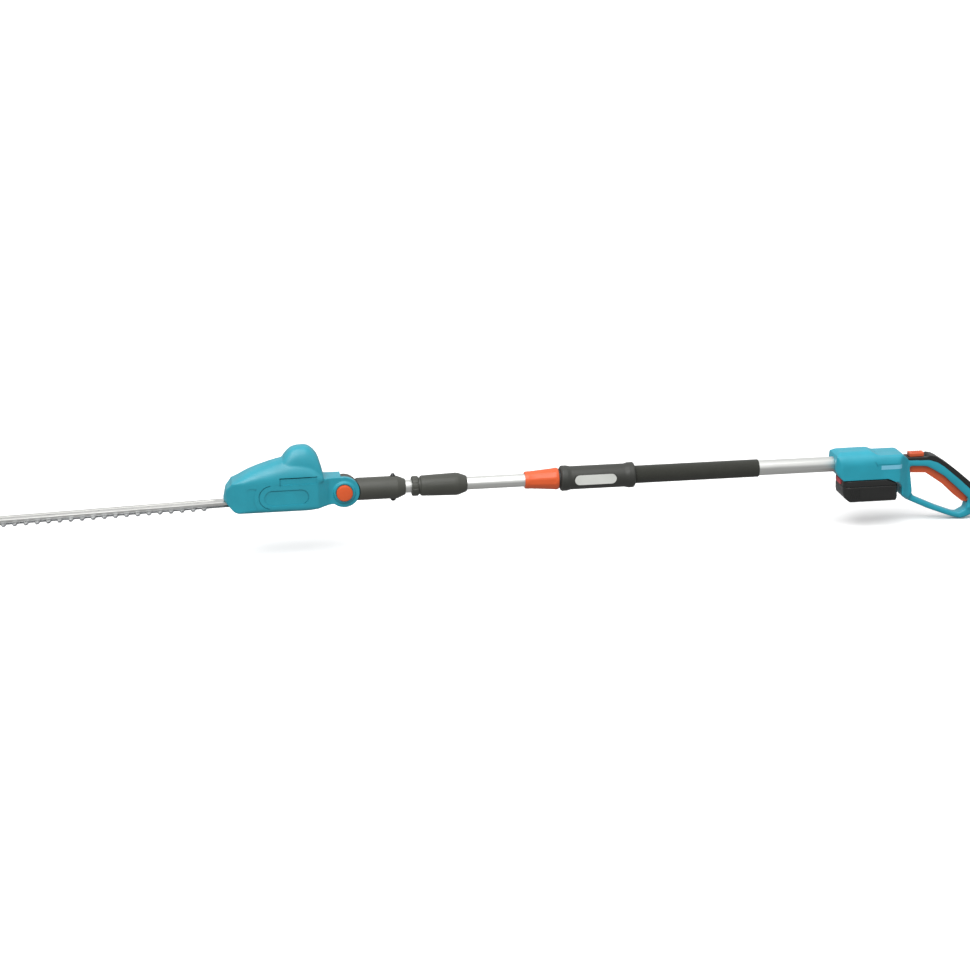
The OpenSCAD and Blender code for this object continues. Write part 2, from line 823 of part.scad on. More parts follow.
module tilt_button() {
    dome = 1.5;
    web_y = button_y0 + 3;
    color([0.92, 0.39, 0.17]) at_pivot() difference() {
        union() {
            pin_y(0, 0, button_r, button_y0 + dome, button_y1);
            pin_y(0, 0, button_r - dome, button_y0, button_y1);
            for (i = [0 : 2]) rotate([0, 60 + i * 120, 0])
                pin_y(lock_pin_x, 0, lock_pin_r, web_y - 1, tongue_y0 + run_gap * 4);
        }
        difference() {
            pin_y(0, 0, button_r - 2, web_y, button_y1 + 1);
            for (i = [0 : 2]) rotate([0, 60 + i * 120, 0])
                pin_y(lock_pin_x, 0, lock_pin_r, web_y - 1, button_y1 + 2);
        }
    }
}

module lock_ring() {
    teeth = 24;
    y0 = tongue_y0 + run_gap * 4;
    color("silver") at_pivot() difference() {
        pin_y(0, 0, lock_r, y0, y0 + lock_t);
        pin_y(0, 0, hinge_r + 2, y0 - 1, y0 + lock_t + 1);
        for (i = [0 : teeth - 1]) rotate([0, i * 360 / teeth, 0])
            block(lock_r - 0.8, lock_r + 1, y0 - 1, y0 + lock_t + 1, -0.8, 0.8);
    }
}

module tilt_spring() {
    y0 = button_y0 + 3;
    y1 = slot_y0 - button_web;
    color("silver") at_pivot() translate([0, y1, 0]) rotate([90, 0, 0])
        coil(button_r - 2.9, 0.6, y1 - y0, 4);
}

// Drive and knife

module gear_case() {
    front_half = bar_w / 2 + 2;
    front_x = nose_x + 22 - crank_from_pivot;
    rear_x = centre_dist + 20;
    posts = [[-27, 25], [-27, -25], [rear_x - 5, 22], [rear_x - 5, -22]];
    color("lightgray") at_crank() difference() {
        union() {
            block(front_x, -40, -front_half, front_half, 0, floor_t);
            block(-45, rear_x, -case_half, case_half, 0, floor_t);
            pin_z(0, 0, bearing_r + boss_wall, floor_t - bearing_t - 1, floor_t);
            block(-33, rear_x, -case_half + 2, case_half - 2, deck_z, deck_z + deck_t);
            for (p = posts) pin_z(p[0], p[1], 3, floor_t - eps, deck_z + eps);
        }
        pin_z(0, 0, bearing_r, floor_t - bearing_t - 2, floor_t - 1);
        pin_z(0, 0, bearing_r - 2, 0, floor_t + 1);
        pin_z(0, 0, crank_r + 2.5, deck_z - 1, deck_z + deck_t + 1);
        pin_z(centre_dist, 0, pitch_r_pinion + 3, deck_z - 1, deck_z + deck_t + 1);
        pin_z(root_bolt_x, 0, bolt_r, -1, floor_t + 1);
    }
}

module ring_z(x, r_out, r_in, z0, z1) {
    difference() {
        pin_z(x, 0, r_out, z0, z1);
        pin_z(x, 0, r_in, z0 - 1, z1 + 1);
    }
}

module crank_bearings() {
    z1 = floor_t - 1;
    z0 = z1 - bearing_t;
    color("silver") at_crank() {
        difference() {
            ring_z(0, bearing_r, crank_r + run_gap, z0, z1);
            ring_z(0, bearing_r - 2, crank_r + 2, z1 - 0.6, z1 + 1);
            ring_z(0, bearing_r - 2, crank_r + 2, z0 - 1, z0 + 0.6);
        }
        ring_z(0, crank_r + 2.5, crank_r + run_gap, deck_z, deck_z + deck_t);
    }
}

module motor() {
    z0 = deck_z + deck_t;
    color("dimgray") at_crank() difference() {
        union() {
            pin_z(centre_dist, 0, motor_d / 2, z0, z0 + motor_len);
            pin_z(centre_dist, 0, 7, z0, z0 + motor_len + 2.5);
        }
        pin_z(centre_dist, 0, shaft_r + run_gap, z0 - 1, z0 + 12);
        for (a = [0 : 45 : 315]) translate([centre_dist, 0, 0]) rotate([0, 0, a])
            block(motor_d / 2 - 1.5, motor_d, -2, 2, z0 + motor_len - 16, z0 + motor_len - 6);
    }
}

module motor_pinion() {
    z0 = gear_z - 0.5;
    color("gray") at_crank() translate([centre_dist, 0, 0]) {
        translate([0, 0, z0]) linear_extrude(gear_t + 1)
            gear_outline(pinion_teeth, gear_module, 180 + 180 / pinion_teeth);
        pin_z(0, 0, shaft_r, z0 + gear_t, deck_z + deck_t + 11);
    }
}

module crank_gear() {
    spokes = 6;
    shaft_z0 = base_z + 0.2;
    cam_z1 = upper_z + blade_t + 0.2;
    mid_z = upper_z - blade_gap / 2;
    color("gray") at_crank() {
        difference() {
            translate([0, 0, gear_z]) linear_extrude(gear_t) gear_outline(gear_teeth, gear_module);
            for (i = [0 : spokes - 1]) rotate([0, 0, (i + 0.5) * 360 / spokes])
                pin_z(pitch_r_gear * 0.6, 0, 5, gear_z - 1, gear_z + gear_t + 1);
            ring_z(0, pitch_r_gear - 4, 9, gear_z + gear_t - 2, gear_z + gear_t + 1);
        }
        pin_z(0, 0, 7, gear_z - 1, gear_z + gear_t + 1);
        pin_z(0, 0, crank_r, shaft_z0, deck_z + deck_t);
        pin_z(stroke, 0, cam_r, mid_z, cam_z1);
        pin_z(-stroke, 0, cam_r, lower_z - 0.2, mid_z);
    }
}

module base_plate() {
    front_x = -60;
    rear_x = 36;
    rim = 1.2;
    color("silver") at_crank() difference() {
        union() {
            block(front_x, rear_x, -case_half, case_half, base_z, base_z + base_t);
            for (s = [-1, 1]) block(
                front_x, rear_x, s * case_half - (s > 0 ? rim : 0),
                s * case_half + (s > 0 ? 0 : rim), base_z, 0
            );
            pin_z(0, 0, crank_r + 4, base_z - 2, base_z + base_t);
        }
        pin_z(0, 0, crank_r + run_gap, base_z - eps, base_z + base_t + 1);
    }
}

// One tooth on each side of the spine
module tooth_pair() {
    reach = spine_half + tooth_len;
    polygon([
        [-tooth_root_w / 2, -spine_half], [-tooth_tip_w / 2, -reach], [tooth_tip_w / 2, -reach],
        [tooth_root_w / 2, -spine_half], [tooth_root_w / 2, spine_half],
        [tooth_tip_w / 2, reach], [-tooth_tip_w / 2, reach], [-tooth_root_w / 2, spine_half]
    ]);
}

module blade_outline() {
    slot_half = spacer_r + 0.1;
    slot_reach = stroke + 0.5;
    spine_x0 = last_tooth - 9;
    spine_x1 = first_tooth + tooth_pitch * 4.4;
    ring_r = yoke_eye_r + yoke_wall;
    difference() {
        union() {
            translate([spine_x0, -spine_half]) square([spine_x1 - spine_x0, 2 * spine_half]);
            translate([spine_x0, -9]) square([-ring_r + 4 - spine_x0, 18]);
            circle(ring_r);
            for (i = [0 : tooth_count - 1]) translate([first_tooth - i * tooth_pitch, 0])
                tooth_pair();
        }
        circle(yoke_eye_r);
        for (x = bolt_places) translate([x, 0]) {
            square([2 * slot_reach, 2 * slot_half], center = true);
            for (s = [-1, 1]) translate([s * slot_reach, 0]) circle(slot_half);
        }
    }
}

module upper_blade() {
    color([0.72, 0.73, 0.74]) at_crank() translate([0, 0, upper_z])
        linear_extrude(blade_t) blade_outline();
}

module lower_blade() {
    color([0.6, 0.61, 0.62]) at_crank() translate([0, 0, lower_z])
        linear_extrude(blade_t) blade_outline();
}

module guide_bar() {
    half = bar_w / 2;
    channel_half = half - 7;
    color([0.8, 0.81, 0.82]) at_crank() difference() {
        translate([bar_tip_x, 0, 0]) rotate([90, 0, 90]) linear_extrude(knife_x1 - bar_tip_x)
            polygon([
                [-half, -bar_t], [-half, -1.5], [-half + 2.5, 0], [half - 2.5, 0],
                [half, -1.5], [half, -bar_t]
            ]);
        block(bar_tip_x - 1, first_tooth + tooth_pitch, -channel_half, channel_half, -1, 1);
        for (x = bolt_places) pin_z(x, 0, bolt_r, -bar_t - 1, 1);
    }
}

module knife_bolts() {
    head_z1 = lower_z - slide_gap;
    color("gray") at_crank() for (x = bolt_places) {
        pin_z(x, 0, bolt_r, head_z1, x == root_bolt_x ? floor_t : -1);
        difference() {
            pin_z(x, 0, spacer_r + 2.5, head_z1 - bolt_head_t, head_z1);
            translate([x, 0, head_z1 - bolt_head_t - 1]) cylinder(r = 1.8, h = 2, $fn = 6);
        }
    }
}

module knife_spacers() {
    color("silver") at_crank() for (x = bolt_places)
        ring_z(x, spacer_r, bolt_r, lower_z - slide_gap, -bar_t);
}

module tip_guard() {
    half = bar_w / 2;
    reach = half + tooth_len * 0.5;
    color([0.2, 0.2, 0.2]) at_crank() translate([bar_tip_x, 0, 0]) {
        block(-4, 0, -half, half, -bar_t, 0);
        translate([0, 0, lower_z - 2]) linear_extrude(-bar_t - lower_z + 2) polygon([
            [0, -reach + 3], [0, reach - 3], [-1, reach], [-3, reach], [-6, reach - 6],
            [-6, -reach + 6], [-3, -reach], [-1, -reach]
        ]);
    }
}

// Rear housing and handle

function backwards(points) = [for (i = [len(points) - 1 : -1 : 0]) points[i]];

module housing_form(wall) {
    intersection() {
        side_core(body_side, wall, -far, far);
        plan_prism(body_plan, wall, -far, far);
        rounded_bar(-1, tail_x + 20, housing_half - wall, -96, top_front_z - wall, 26 - wall);
    }
}

module arm_form() {
    side_core(arm_line, skin_t, -handle_half + skin_t, handle_half - skin_t);
    side_prism(teal_line, -handle_half, handle_half);
    side_prism(end_line, -arm_half - 3, arm_half + 3);
    side_prism(lower_line, -arm_half, arm_half);
}

module rail_space() {
    neck = rail_half + slide_gap;
    lip = rail_half + rail_lip + slide_gap;
    x0 = -5;
    x1 = rail_x1 - housing_x0 + 1;
    block(x0, x1, -neck, neck, floor_z - 5, rail_roof + slide_gap);
    block(x0, x1, -lip, lip, floor_z + shell_wall, rail_roof + slide_gap);
}

module rear_solid() {
    difference() {
        union() {
            at_housing() difference() {
                housing_form(0);
                housing_form(shell_wall);
            }
            at_handle() difference() {
                arm_form();
                translate([-housing_x0 - tail_x, 0, 0]) at_housing() housing_form(shell_wall);
            }
            at_housing() intersection() {
                housing_form(shell_wall - eps);
                union() {
                    for (x = rib_places) block(x, x + 3, -far, far, rail_roof + 1, far);
                    for (p = rear_screw_places) pin_y(p[0], p[1], boss_r, -far, far);
                }
            }
        }
        rod(housing_x0 - 5, outer_tube_x1, outer_tube_r);
        at_handle() side_core(arm_line, skin_t + 2.5, -handle_half + 5, handle_half - 5);
        at_handle() side_prism(trigger_space_line, -trigger_half - loose_gap,
            trigger_half + loose_gap);
        at_handle() pin_y(trigger_pivot[0], trigger_pivot[1], trigger_pin_r, -14, 14);
        at_handle() block(slide_x - 1, slide_x + slide_len + slide_travel + 1, -3.5, 3.5, 0, 12);
        at_housing() rail_space();
        at_housing() for (p = rear_screw_places) {
            pin_y(p[0], p[1], screw_r, p[3], p[2]);
            pin_y(p[0], p[1], screw_head_r, p[2] - 2.6, housing_w);
        }
        at_housing() for (i = [0 : 4]) block(
            92 + i * 7, 95.5 + i * 7, housing_half - shell_wall - 2, housing_w, -14, 4
        );
    }
}

module rear_housing_left() {
    color([0.18, 0.6, 0.69]) left_half() rear_solid();
}

module rear_housing_right() {
    color([0.18, 0.6, 0.69]) right_half() rear_solid();
}

module handle_overmould() {
    skin_line = concat(grip_top, grip_line);
    color([0.13, 0.12, 0.12]) at_handle() difference() {
        side_prism(skin_line, -handle_half, handle_half);
        arm_form();
        side_core(arm_line, skin_t, -handle_half + skin_t, handle_half - skin_t);
        translate([-tail_x, 0, 0]) housing_form(0);
        block(slide_x - 1, slide_x + slide_len + slide_travel + 1, -3.5, 3.5, 0, 12);
        block(slide_x - 2, slide_x + slide_len + slide_travel + 2,
            -slide_half - 1, slide_half + 1, 8, 20);
    }
}

module rear_screws() {
    color("gray") at_housing() for (p = rear_screw_places)
        screw_set([[p[0], p[1]]], p[2], p[3]);
}

module battery_contacts() {
    z0 = rail_roof + 2 * slide_gap;
    x1 = rail_x1 + 1;
    color([0.15, 0.15, 0.15]) block(x1 - 26, x1 - 2, -20, 20, z0, z0 + 4);
    color("gold") for (y = [-12, -4, 4, 12])
        block(x1 - 14, x1 - 3, y - 0.5, y + 0.5, battery_top + 2.5, z0 + eps);
}

module control_board() {
    z0 = rail_roof + 7.5;
    color("darkgreen") at_housing() block(96, tail_x - 28, -22, 22, z0, z0 + 1.6);
    color([0.1, 0.1, 0.1]) at_housing() {
        pin_z(104, 14, 5, z0 + 1.5, z0 + 16);
        pin_z(104, -14, 4, z0 + 1.5, z0 + 12);
        block(96, 102, -8, 6, z0 + 1.5, z0 + 6);
    }
}

module trigger_switch() {
    color([0.15, 0.15, 0.15]) at_handle() {
        block(-24, -4, -5, 5, -5, 6);
        block(-9, -7, -2, 2, -6.5, -4.5);
    }
}

module switch_leads() {
    color("firebrick") at_handle() for (y = [-3, 3]) {
        block(-30, -24, y - 0.8, y + 0.8, 1, 2.6);
        block(-30, -28.4, y - 0.8, y + 0.8, rail_roof + 9.1, 1.5);
    }
}

module trigger_pin() {
    color("silver") at_handle() pin_y(trigger_pivot[0], trigger_pivot[1], trigger_pin_r, -14, 14);
}

module trigger_lever() {
    outline = concat(trigger_top, trigger_under);
    finger_half = trigger_half - 3;
    color([0.8, 0.36, 0.22]) at_handle() difference() {
        union() {
            side_prism(outline, -trigger_half, trigger_half);
            pin_y(trigger_pivot[0], trigger_pivot[1], trigger_boss_r, -trigger_half, trigger_half);
            block(-10, 12, -finger_half, finger_half, -20, -15);
        }
        pin_y(trigger_pivot[0], trigger_pivot[1], trigger_pin_r + run_gap, -20, 20);
    }
}

module trigger_spring() {
    color("silver") at_handle() translate([16, 0, -6.9]) coil(3, 0.5, 9, 4);
}

module safety_slide() {
    x0 = slide_x;
    x1 = slide_x + slide_len;
    color([0.8, 0.36, 0.22]) at_handle() difference() {
        union() {
            block(x0, x1, -slide_half, slide_half, 9, 12);
            rounded_bar(x0, x1, slide_half, 9, slide_top, 3);
            block(x0 + 6, x0 + 22, -3, 3, 3, 9.5);
        }
        for (i = [0 : 4]) block(
            x0 + 6 + i * 4, x0 + 7.5 + i * 4, -slide_half - 1, slide_half + 1, slide_top - 1, 20
        );
    }
}

module safety_spring() {
    color("silver") at_handle() translate([slide_x + 22, 0, 6]) rotate([0, 90, 0])
        coil(2.2, 0.4, 10, 5);
}

// Battery

module battery_form(wall) {
    translate([battery_x0, 0, battery_top]) intersection() {
        side_core(battery_side, wall, -battery_w, battery_w);
        rounded_bar(-1, battery_len + 1, battery_half - wall, -battery_h + wall, 12, 8 - wall);
        translate([battery_len / 2, 0, -battery_h - 1]) linear_extrude(battery_h + 20)
            rounded_square(battery_len - 2 * wall, battery_w - 2 * wall, 14 - wall);
    }
}

module latch_space(gap) {
    x0 = battery_x0;
    block(x0 - 5, x0 + 6 + latch_travel + gap, -latch_half - gap, latch_half + gap,
        battery_top - lid_h + 1.5 - gap, battery_top + 1);
}

module battery_case() {
    split = battery_top - lid_h;
    color([0.15, 0.14, 0.14]) difference() {
        intersection() {
            battery_form(0);
            block(battery_x0 - 1, battery_x1 + 1, -battery_w, battery_w, battery_z0 - 1, split);
        }
        battery_form(case_wall);
    }
}

module battery_lid() {
    split = battery_top - lid_h;
    slot_x0 = rail_x1 - 16;
    color([0.2, 0.19, 0.19]) difference() {
        union() {
            difference() {
                intersection() {
                    battery_form(0);
                    block(battery_x0 - 1, battery_x1 + 1, -battery_w, battery_w, split, 0);
                }
                battery_form(case_wall);
            }
            block(rail_x0, rail_x1, -rail_half, rail_half, battery_top - eps, rail_roof);
            block(rail_x0, rail_x1, -rail_half - rail_lip, rail_half + rail_lip,
                floor_z + shell_wall + slide_gap, rail_roof);
        }
        for (y = [-12, -4, 4, 12])
            block(slot_x0, rail_x1 + 1, y - 1.2, y + 1.2, battery_top + 1.8, rail_roof + 1);
        latch_space(slide_gap);
    }
}

module battery_cells() {
    pitch = cell_d + cell_gap;
    first_x = battery_x0 + battery_len / 2 - pitch * (cell_count - 1) / 2;
    z = battery_z0 + case_wall + cell_d / 2 + 2;
    color("steelblue") for (i = [0 : cell_count - 1]) {
        pin_y(first_x + i * pitch, z, cell_d / 2, -cell_len / 2, cell_len / 2);
        pin_y(first_x + i * pitch, z, 3, -cell_len / 2 - 0.8, cell_len / 2 + 0.8);
    }
}

module battery_button() {
    x0 = battery_x0 - 2;
    z0 = battery_top - lid_h + 1.5;
    color([0.75, 0.25, 0.2]) difference() {
        block(x0, x0 + 5, -latch_half, latch_half, z0, battery_top - 0.5);
        for (i = [0 : 2]) block(
            x0 - 1, x0 + 0.8, -latch_half + 3, latch_half - 3, z0 + 2 + i * 2.6, z0 + 3.2 + i * 2.6
        );
    }
}

module battery_button_spring() {
    x0 = battery_x0 + 3;
    x1 = battery_x0 + 6 + latch_travel + slide_gap;
    color("silver") translate([x0, 0, battery_top - lid_h / 2 + 0.5]) rotate([0, 90, 0])
        coil(3, 0.5, x1 - x0, 4);
}

outer_tube();
clamp_collet();
front_grip();
grip_badge();
foam_grip();
rear_housing_left();
rear_housing_right();
handle_overmould();
rear_screws();
battery_contacts();
control_board();
trigger_switch();
trigger_pin();
switch_leads();
trigger_lever();
trigger_spring();
safety_slide();
safety_spring();
battery_case();
battery_lid();
battery_cells();
battery_button();
battery_button_spring();
clamp_sleeve();
inner_tube();
tube_guide();
coiled_cable();
coupling_sleeve();
coupling_socket();
coupling_plug();
stub_tube();
neck();
cross_bolt();
cross_nut();
coupling_nut();
head_shell_left();
head_shell_right();
head_screws();
hinge_bolt();
hinge_nut();
gear_case();
crank_bearings();
motor();
base_plate();
guide_bar();
knife_bolts();
knife_spacers();
tip_guard();
tilt_button();
lock_ring();
tilt_spring();
motor_pinion();
crank_gear();
upper_blade();
lower_blade();
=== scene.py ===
"""Looks of a cordless telescopic pole hedge trimmer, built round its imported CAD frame."""

import json
import logging
import math
from dataclasses import dataclass, field
from enum import Enum
from typing import Iterable, Sequence

import bpy
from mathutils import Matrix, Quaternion, Vector

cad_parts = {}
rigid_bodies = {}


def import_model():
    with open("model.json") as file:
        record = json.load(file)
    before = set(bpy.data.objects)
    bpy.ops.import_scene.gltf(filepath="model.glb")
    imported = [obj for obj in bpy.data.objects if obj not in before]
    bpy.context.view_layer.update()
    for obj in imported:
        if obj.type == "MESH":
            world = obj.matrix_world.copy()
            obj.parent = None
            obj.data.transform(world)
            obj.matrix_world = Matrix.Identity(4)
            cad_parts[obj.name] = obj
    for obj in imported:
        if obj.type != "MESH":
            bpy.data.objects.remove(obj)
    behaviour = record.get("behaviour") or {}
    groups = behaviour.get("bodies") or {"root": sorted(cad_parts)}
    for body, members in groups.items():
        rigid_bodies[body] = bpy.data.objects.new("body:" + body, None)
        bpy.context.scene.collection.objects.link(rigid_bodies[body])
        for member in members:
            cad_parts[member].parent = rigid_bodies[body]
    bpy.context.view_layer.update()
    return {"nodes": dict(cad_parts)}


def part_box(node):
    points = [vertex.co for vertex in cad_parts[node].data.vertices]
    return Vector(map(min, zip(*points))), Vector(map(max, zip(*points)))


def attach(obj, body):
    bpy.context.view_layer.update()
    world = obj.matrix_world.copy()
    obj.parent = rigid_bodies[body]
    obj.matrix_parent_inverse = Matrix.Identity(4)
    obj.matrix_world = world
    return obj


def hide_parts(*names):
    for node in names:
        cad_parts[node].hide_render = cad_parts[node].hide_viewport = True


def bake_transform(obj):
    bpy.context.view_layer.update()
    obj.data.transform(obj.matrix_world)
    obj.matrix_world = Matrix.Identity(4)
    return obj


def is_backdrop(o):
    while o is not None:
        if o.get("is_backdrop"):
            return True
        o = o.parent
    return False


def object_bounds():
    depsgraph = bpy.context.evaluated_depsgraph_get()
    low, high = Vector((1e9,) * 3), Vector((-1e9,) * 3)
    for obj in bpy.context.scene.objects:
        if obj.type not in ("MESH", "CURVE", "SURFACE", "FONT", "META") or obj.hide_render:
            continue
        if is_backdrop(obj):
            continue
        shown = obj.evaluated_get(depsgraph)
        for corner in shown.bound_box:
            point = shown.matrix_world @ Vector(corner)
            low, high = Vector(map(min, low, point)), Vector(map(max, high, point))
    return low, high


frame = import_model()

MM = 0.001
log = logging.getLogger("pole_trimmer")

Outline = Sequence[tuple[float, float]]
Rounded = tuple[float, float, float, float, float]
Mesh = bpy.types.Object
Socket = bpy.types.NodeSocket


class Along(Enum):
    """Direction that an outline is drawn out in."""

    X = (1.0, 0.0, 0.0)
    Y = (0.0, 1.0, 0.0)
    Z = (0.0, 0.0, 1.0)


class Side(Enum):
    """Side of the object that a half or a detail belongs to."""

    NEAR = -1
    FAR = 1


# Bench work: selecting, tracing, cutting and easing


def clear_selection() -> None:
    """Leave nothing selected and nothing in edit mode."""
    if bpy.context.object and bpy.context.object.mode != "OBJECT":
        bpy.ops.object.mode_set(mode="OBJECT")
    bpy.ops.object.select_all(action="DESELECT")


def choose(*pieces: Mesh) -> None:
    """Select some pieces and make the first of them active.

    Args:
        pieces: the pieces to work on.
    """
    clear_selection()
    for piece in pieces:
        piece.select_set(True)
    bpy.context.view_layer.objects.active = pieces[0]


def remove(*pieces: Mesh) -> None:
    """Throw away cutters that have done their work."""
    choose(*pieces)
    bpy.ops.object.delete()


def on_plane(along: Along, pair: tuple[float, float], level: float) -> Vector:
    """Place a point of an outline in space.

    Args:
        along: direction that the outline is drawn out in.
        pair: the point in the outline's plane, in millimetres.
        level: its distance along the direction, in millimetres.

    Returns:
        The point in metres.
    """
    a, b = pair
    spot = {
        Along.X: (level, a, b),
        Along.Y: (a, level, b),
        Along.Z: (a, b, level),
    }[along]
    return Vector(spot) * MM


def trace(name: str, points: Sequence[Vector]) -> Mesh:
    """Draw a chain of edges through points, and stay in edit mode.

    Args:
        name: name of the new piece.
        points: the points, in metres.

    Returns:
        The piece, with all of its chain selected.
    """
    clear_selection()
    bpy.ops.mesh.primitive_plane_add(size=MM, location=(0.0, 0.0, 0.0))
    piece = bpy.context.object
    piece.name = piece.data.name = name
    bpy.ops.object.mode_set(mode="EDIT")
    bpy.ops.mesh.select_all(action="SELECT")
    bpy.ops.mesh.merge(type="CENTER")
    bpy.ops.transform.translate(value=points[0])
    here = points[0]
    for there in points[1:]:
        bpy.ops.mesh.extrude_vertices_move(
            TRANSFORM_OT_translate={"value": there - here}
        )
        here = there
    bpy.ops.mesh.select_all(action="SELECT")
    return piece


def close_up() -> None:
    """Merge doubles, turn every face outwards and leave edit mode."""
    bpy.ops.mesh.select_all(action="SELECT")
    bpy.ops.mesh.remove_doubles(threshold=0.001 * MM)
    bpy.ops.mesh.normals_make_consistent(inside=False)
    bpy.ops.object.mode_set(mode="OBJECT")


def drawn_out(
    name: str, outline: Outline, along: Along, low: float, high: float
) -> Mesh:
    """Fill an outline and draw it out to a straight-sided block.

    Args:
        name: name of the new piece.
        outline: corners in the plane across the direction, in millimetres.
        along: direction to draw it out in.
        low: where it starts, in millimetres.
        high: where it ends, in millimetres.

    Returns:
        The closed block.
    """
    piece = trace(name, [on_plane(along, pair, low) for pair in outline])
    bpy.ops.mesh.edge_face_add()
    reach = Vector(along.value) * (high - low) * MM
    bpy.ops.mesh.extrude_region_move(TRANSFORM_OT_translate={"value": reach})
    close_up()
    return piece


def turned(name: str, profile: Outline, steps: int = 96) -> Mesh:
    """Turn a closed profile about the pole's axis.

    Args:
        name: name of the new piece.
        profile: corners as distance along the pole and radius, in millimetres.
        steps: facets round the turn.

    Returns:
        The closed ring or plug.
    """
    ring = [Vector((x, 0.0, r)) * MM for x, r in (*profile, profile[0])]
    piece = trace(name, ring)
    bpy.ops.mesh.spin(
        steps=steps, angle=math.tau, center=(0.0, 0.0, 0.0), axis=(1.0, 0.0, 0.0)
    )
    close_up()
    return piece


def lofted(name: str, rings: Sequence[Sequence[Vector]]) -> Mesh:
    """Bridge closed rings that stand one behind another along the pole.

    Args:
        name: name of the new piece.
        rings: rings of equal length, each at its own distance, in metres.

    Returns:
        The closed body.
    """
    parts = []
    for ring in rings:
        parts.append(trace(name, [*ring, ring[0]]))
        close_up()
    choose(*parts)
    bpy.ops.object.join()
    body = bpy.context.object
    places = [ring[0].x for ring in rings]
    spans = [(a, b) for a, b in zip(places, places[1:])]
    for wanted in (*spans, places[:1], places[-1:]):
        bpy.ops.object.mode_set(mode="EDIT")
        bpy.ops.mesh.select_mode(type="VERT")
        bpy.ops.mesh.select_all(action="DESELECT")
        bpy.ops.object.mode_set(mode="OBJECT")
        for v in body.data.vertices:
            v.select = any(abs(v.co.x - x) < 0.001 * MM for x in wanted)
        bpy.ops.object.mode_set(mode="EDIT")
        if len(wanted) == 2:
            bpy.ops.mesh.bridge_edge_loops()
        else:
            bpy.ops.mesh.edge_face_add()
    close_up()
    return body


def arc(
    cx: float, cy: float, radius: float, start: float, end: float, steps: int = 12
) -> list[tuple[float, float]]:
    """Points on an arc.

    Args:
        cx: centre's first coordinate.
        cy: centre's second coordinate.
        radius: radius of the arc.
        start: first angle in degrees.
        end: last angle in degrees.
        steps: number of steps along it.

    Returns:
        The points in order.
    """
    turns = [
        math.radians(start + (end - start) * i / steps) for i in range(steps + 1)
    ]
    return [(cx + radius * math.cos(t), cy + radius * math.sin(t)) for t in turns]


def obround(
    x0: float, x1: float, z0: float, z1: float
) -> list[tuple[float, float]]:
    """Outline of a slot with two round ends.

    Args:
        x0: left end.
        x1: right end.
        z0: lower edge.
        z1: upper edge.

    Returns:
        The outline's points.
    """
    r, middle = (z1 - z0) / 2, (z0 + z1) / 2
    return arc(x1 - r, middle, r, -90, 90) + arc(x0 + r, middle, r, 90, 270)


def rounded_box(
    x0: float, x1: float, z0: float, z1: float, r: float
) -> list[tuple[float, float]]:
    """Outline of a rectangle with round corners.

    Args:
        x0: left edge.
        x1: right edge.
        z0: lower edge.
        z1: upper edge.
        r: radius of the corners.

    Returns:
        The outline's points.
    """
    return (
        arc(x1 - r, z0 + r, r, -90, 0, 5)
        + arc(x1 - r, z1 - r, r, 0, 90, 5)
        + arc(x0 + r, z1 - r, r, 90, 180, 5)
        + arc(x0 + r, z0 + r, r, 180, 270, 5)
    )


def modify(piece: Mesh, kind: str, **settings: object) -> None:
    """Add one modifier and apply it.

    Args:
        piece: the piece to change.
        kind: the modifier's type.
        settings: the modifier's fields.
    """
    choose(piece)
    step = piece.modifiers.new(kind.title(), kind)
    for key, value in settings.items():
        setattr(step, key, value)
    bpy.ops.object.modifier_apply(modifier=step.name)


def cut(piece: Mesh, *cutters: Mesh) -> None:
    """Cut closed cutters out of a closed piece, then throw them away.

    Args:
        piece: the piece to cut.
        cutters: the closed shapes to take out.
    """
    for cutter in cutters:
        modify(
            piece, "BOOLEAN", operation="DIFFERENCE", solver="EXACT", object=cutter
        )
    remove(*cutters)


def fuse(piece: Mesh, *others: Mesh) -> None:
    """Fuse closed shapes into a closed piece, then throw them away.

    Args:
        piece: the piece that grows.
        others: the closed shapes to add.
    """
    for other in others:
        modify(piece, "BOOLEAN", operation="UNION", solver="EXACT", object=other)
    remove(*others)


def keep_inside(piece: Mesh, block: Mesh) -> None:
    """Keep only what lies inside a closed block.

    Args:
        piece: the piece to cut.
        block: the closed shape that bounds it.
    """
    modify(piece, "BOOLEAN", operation="INTERSECT", solver="EXACT", object=block)
    remove(block)


def sink(
    piece: Mesh, outline: Outline, flank: float, depth: float, beyond: float
) -> None:
    """Sink an outline into both flanks of a piece.

    Args:
        piece: the piece to cut.
        outline: the outline in side view, in millimetres.
        flank: distance of the flank from the middle.
        depth: how deep it goes below the flank.
        beyond: how far the cutter stands proud of the flank.
    """
    for side in Side:
        reach = sorted((side.value * (flank - depth), side.value * (flank + beyond)))
        cut(piece, drawn_out("sink", outline, Along.Y, *reach))


def duplicate(piece: Mesh, name: str) -> Mesh:
    """Copy a piece with its own mesh.

    Args:
        piece: the piece to copy.
        name: name of the copy.

    Returns:
        The copy.
    """
    choose(piece)
    bpy.ops.object.duplicate(linked=False)
    copy = bpy.context.object
    copy.name = copy.data.name = name
    return copy


def taken_from(node: str, name: str) -> Mesh:
    """Copy a CAD node's mesh, merged so that it is one closed skin.

    Args:
        node: the CAD node.
        name: name of the new piece.

    Returns:
        The copy, on its own and in place.
    """
    copy = duplicate(frame["nodes"][node], name)
    bpy.ops.object.parent_clear(type="CLEAR_KEEP_TRANSFORM")
    for key in list(copy.keys()):
        del copy[key]
    bpy.ops.object.mode_set(mode="EDIT")
    bpy.ops.mesh.select_all(action="SELECT")
    bpy.ops.mesh.remove_doubles(threshold=0.002 * MM)
    bpy.ops.mesh.dissolve_limited(angle_limit=math.radians(0.5))
    bpy.ops.object.mode_set(mode="OBJECT")
    return copy


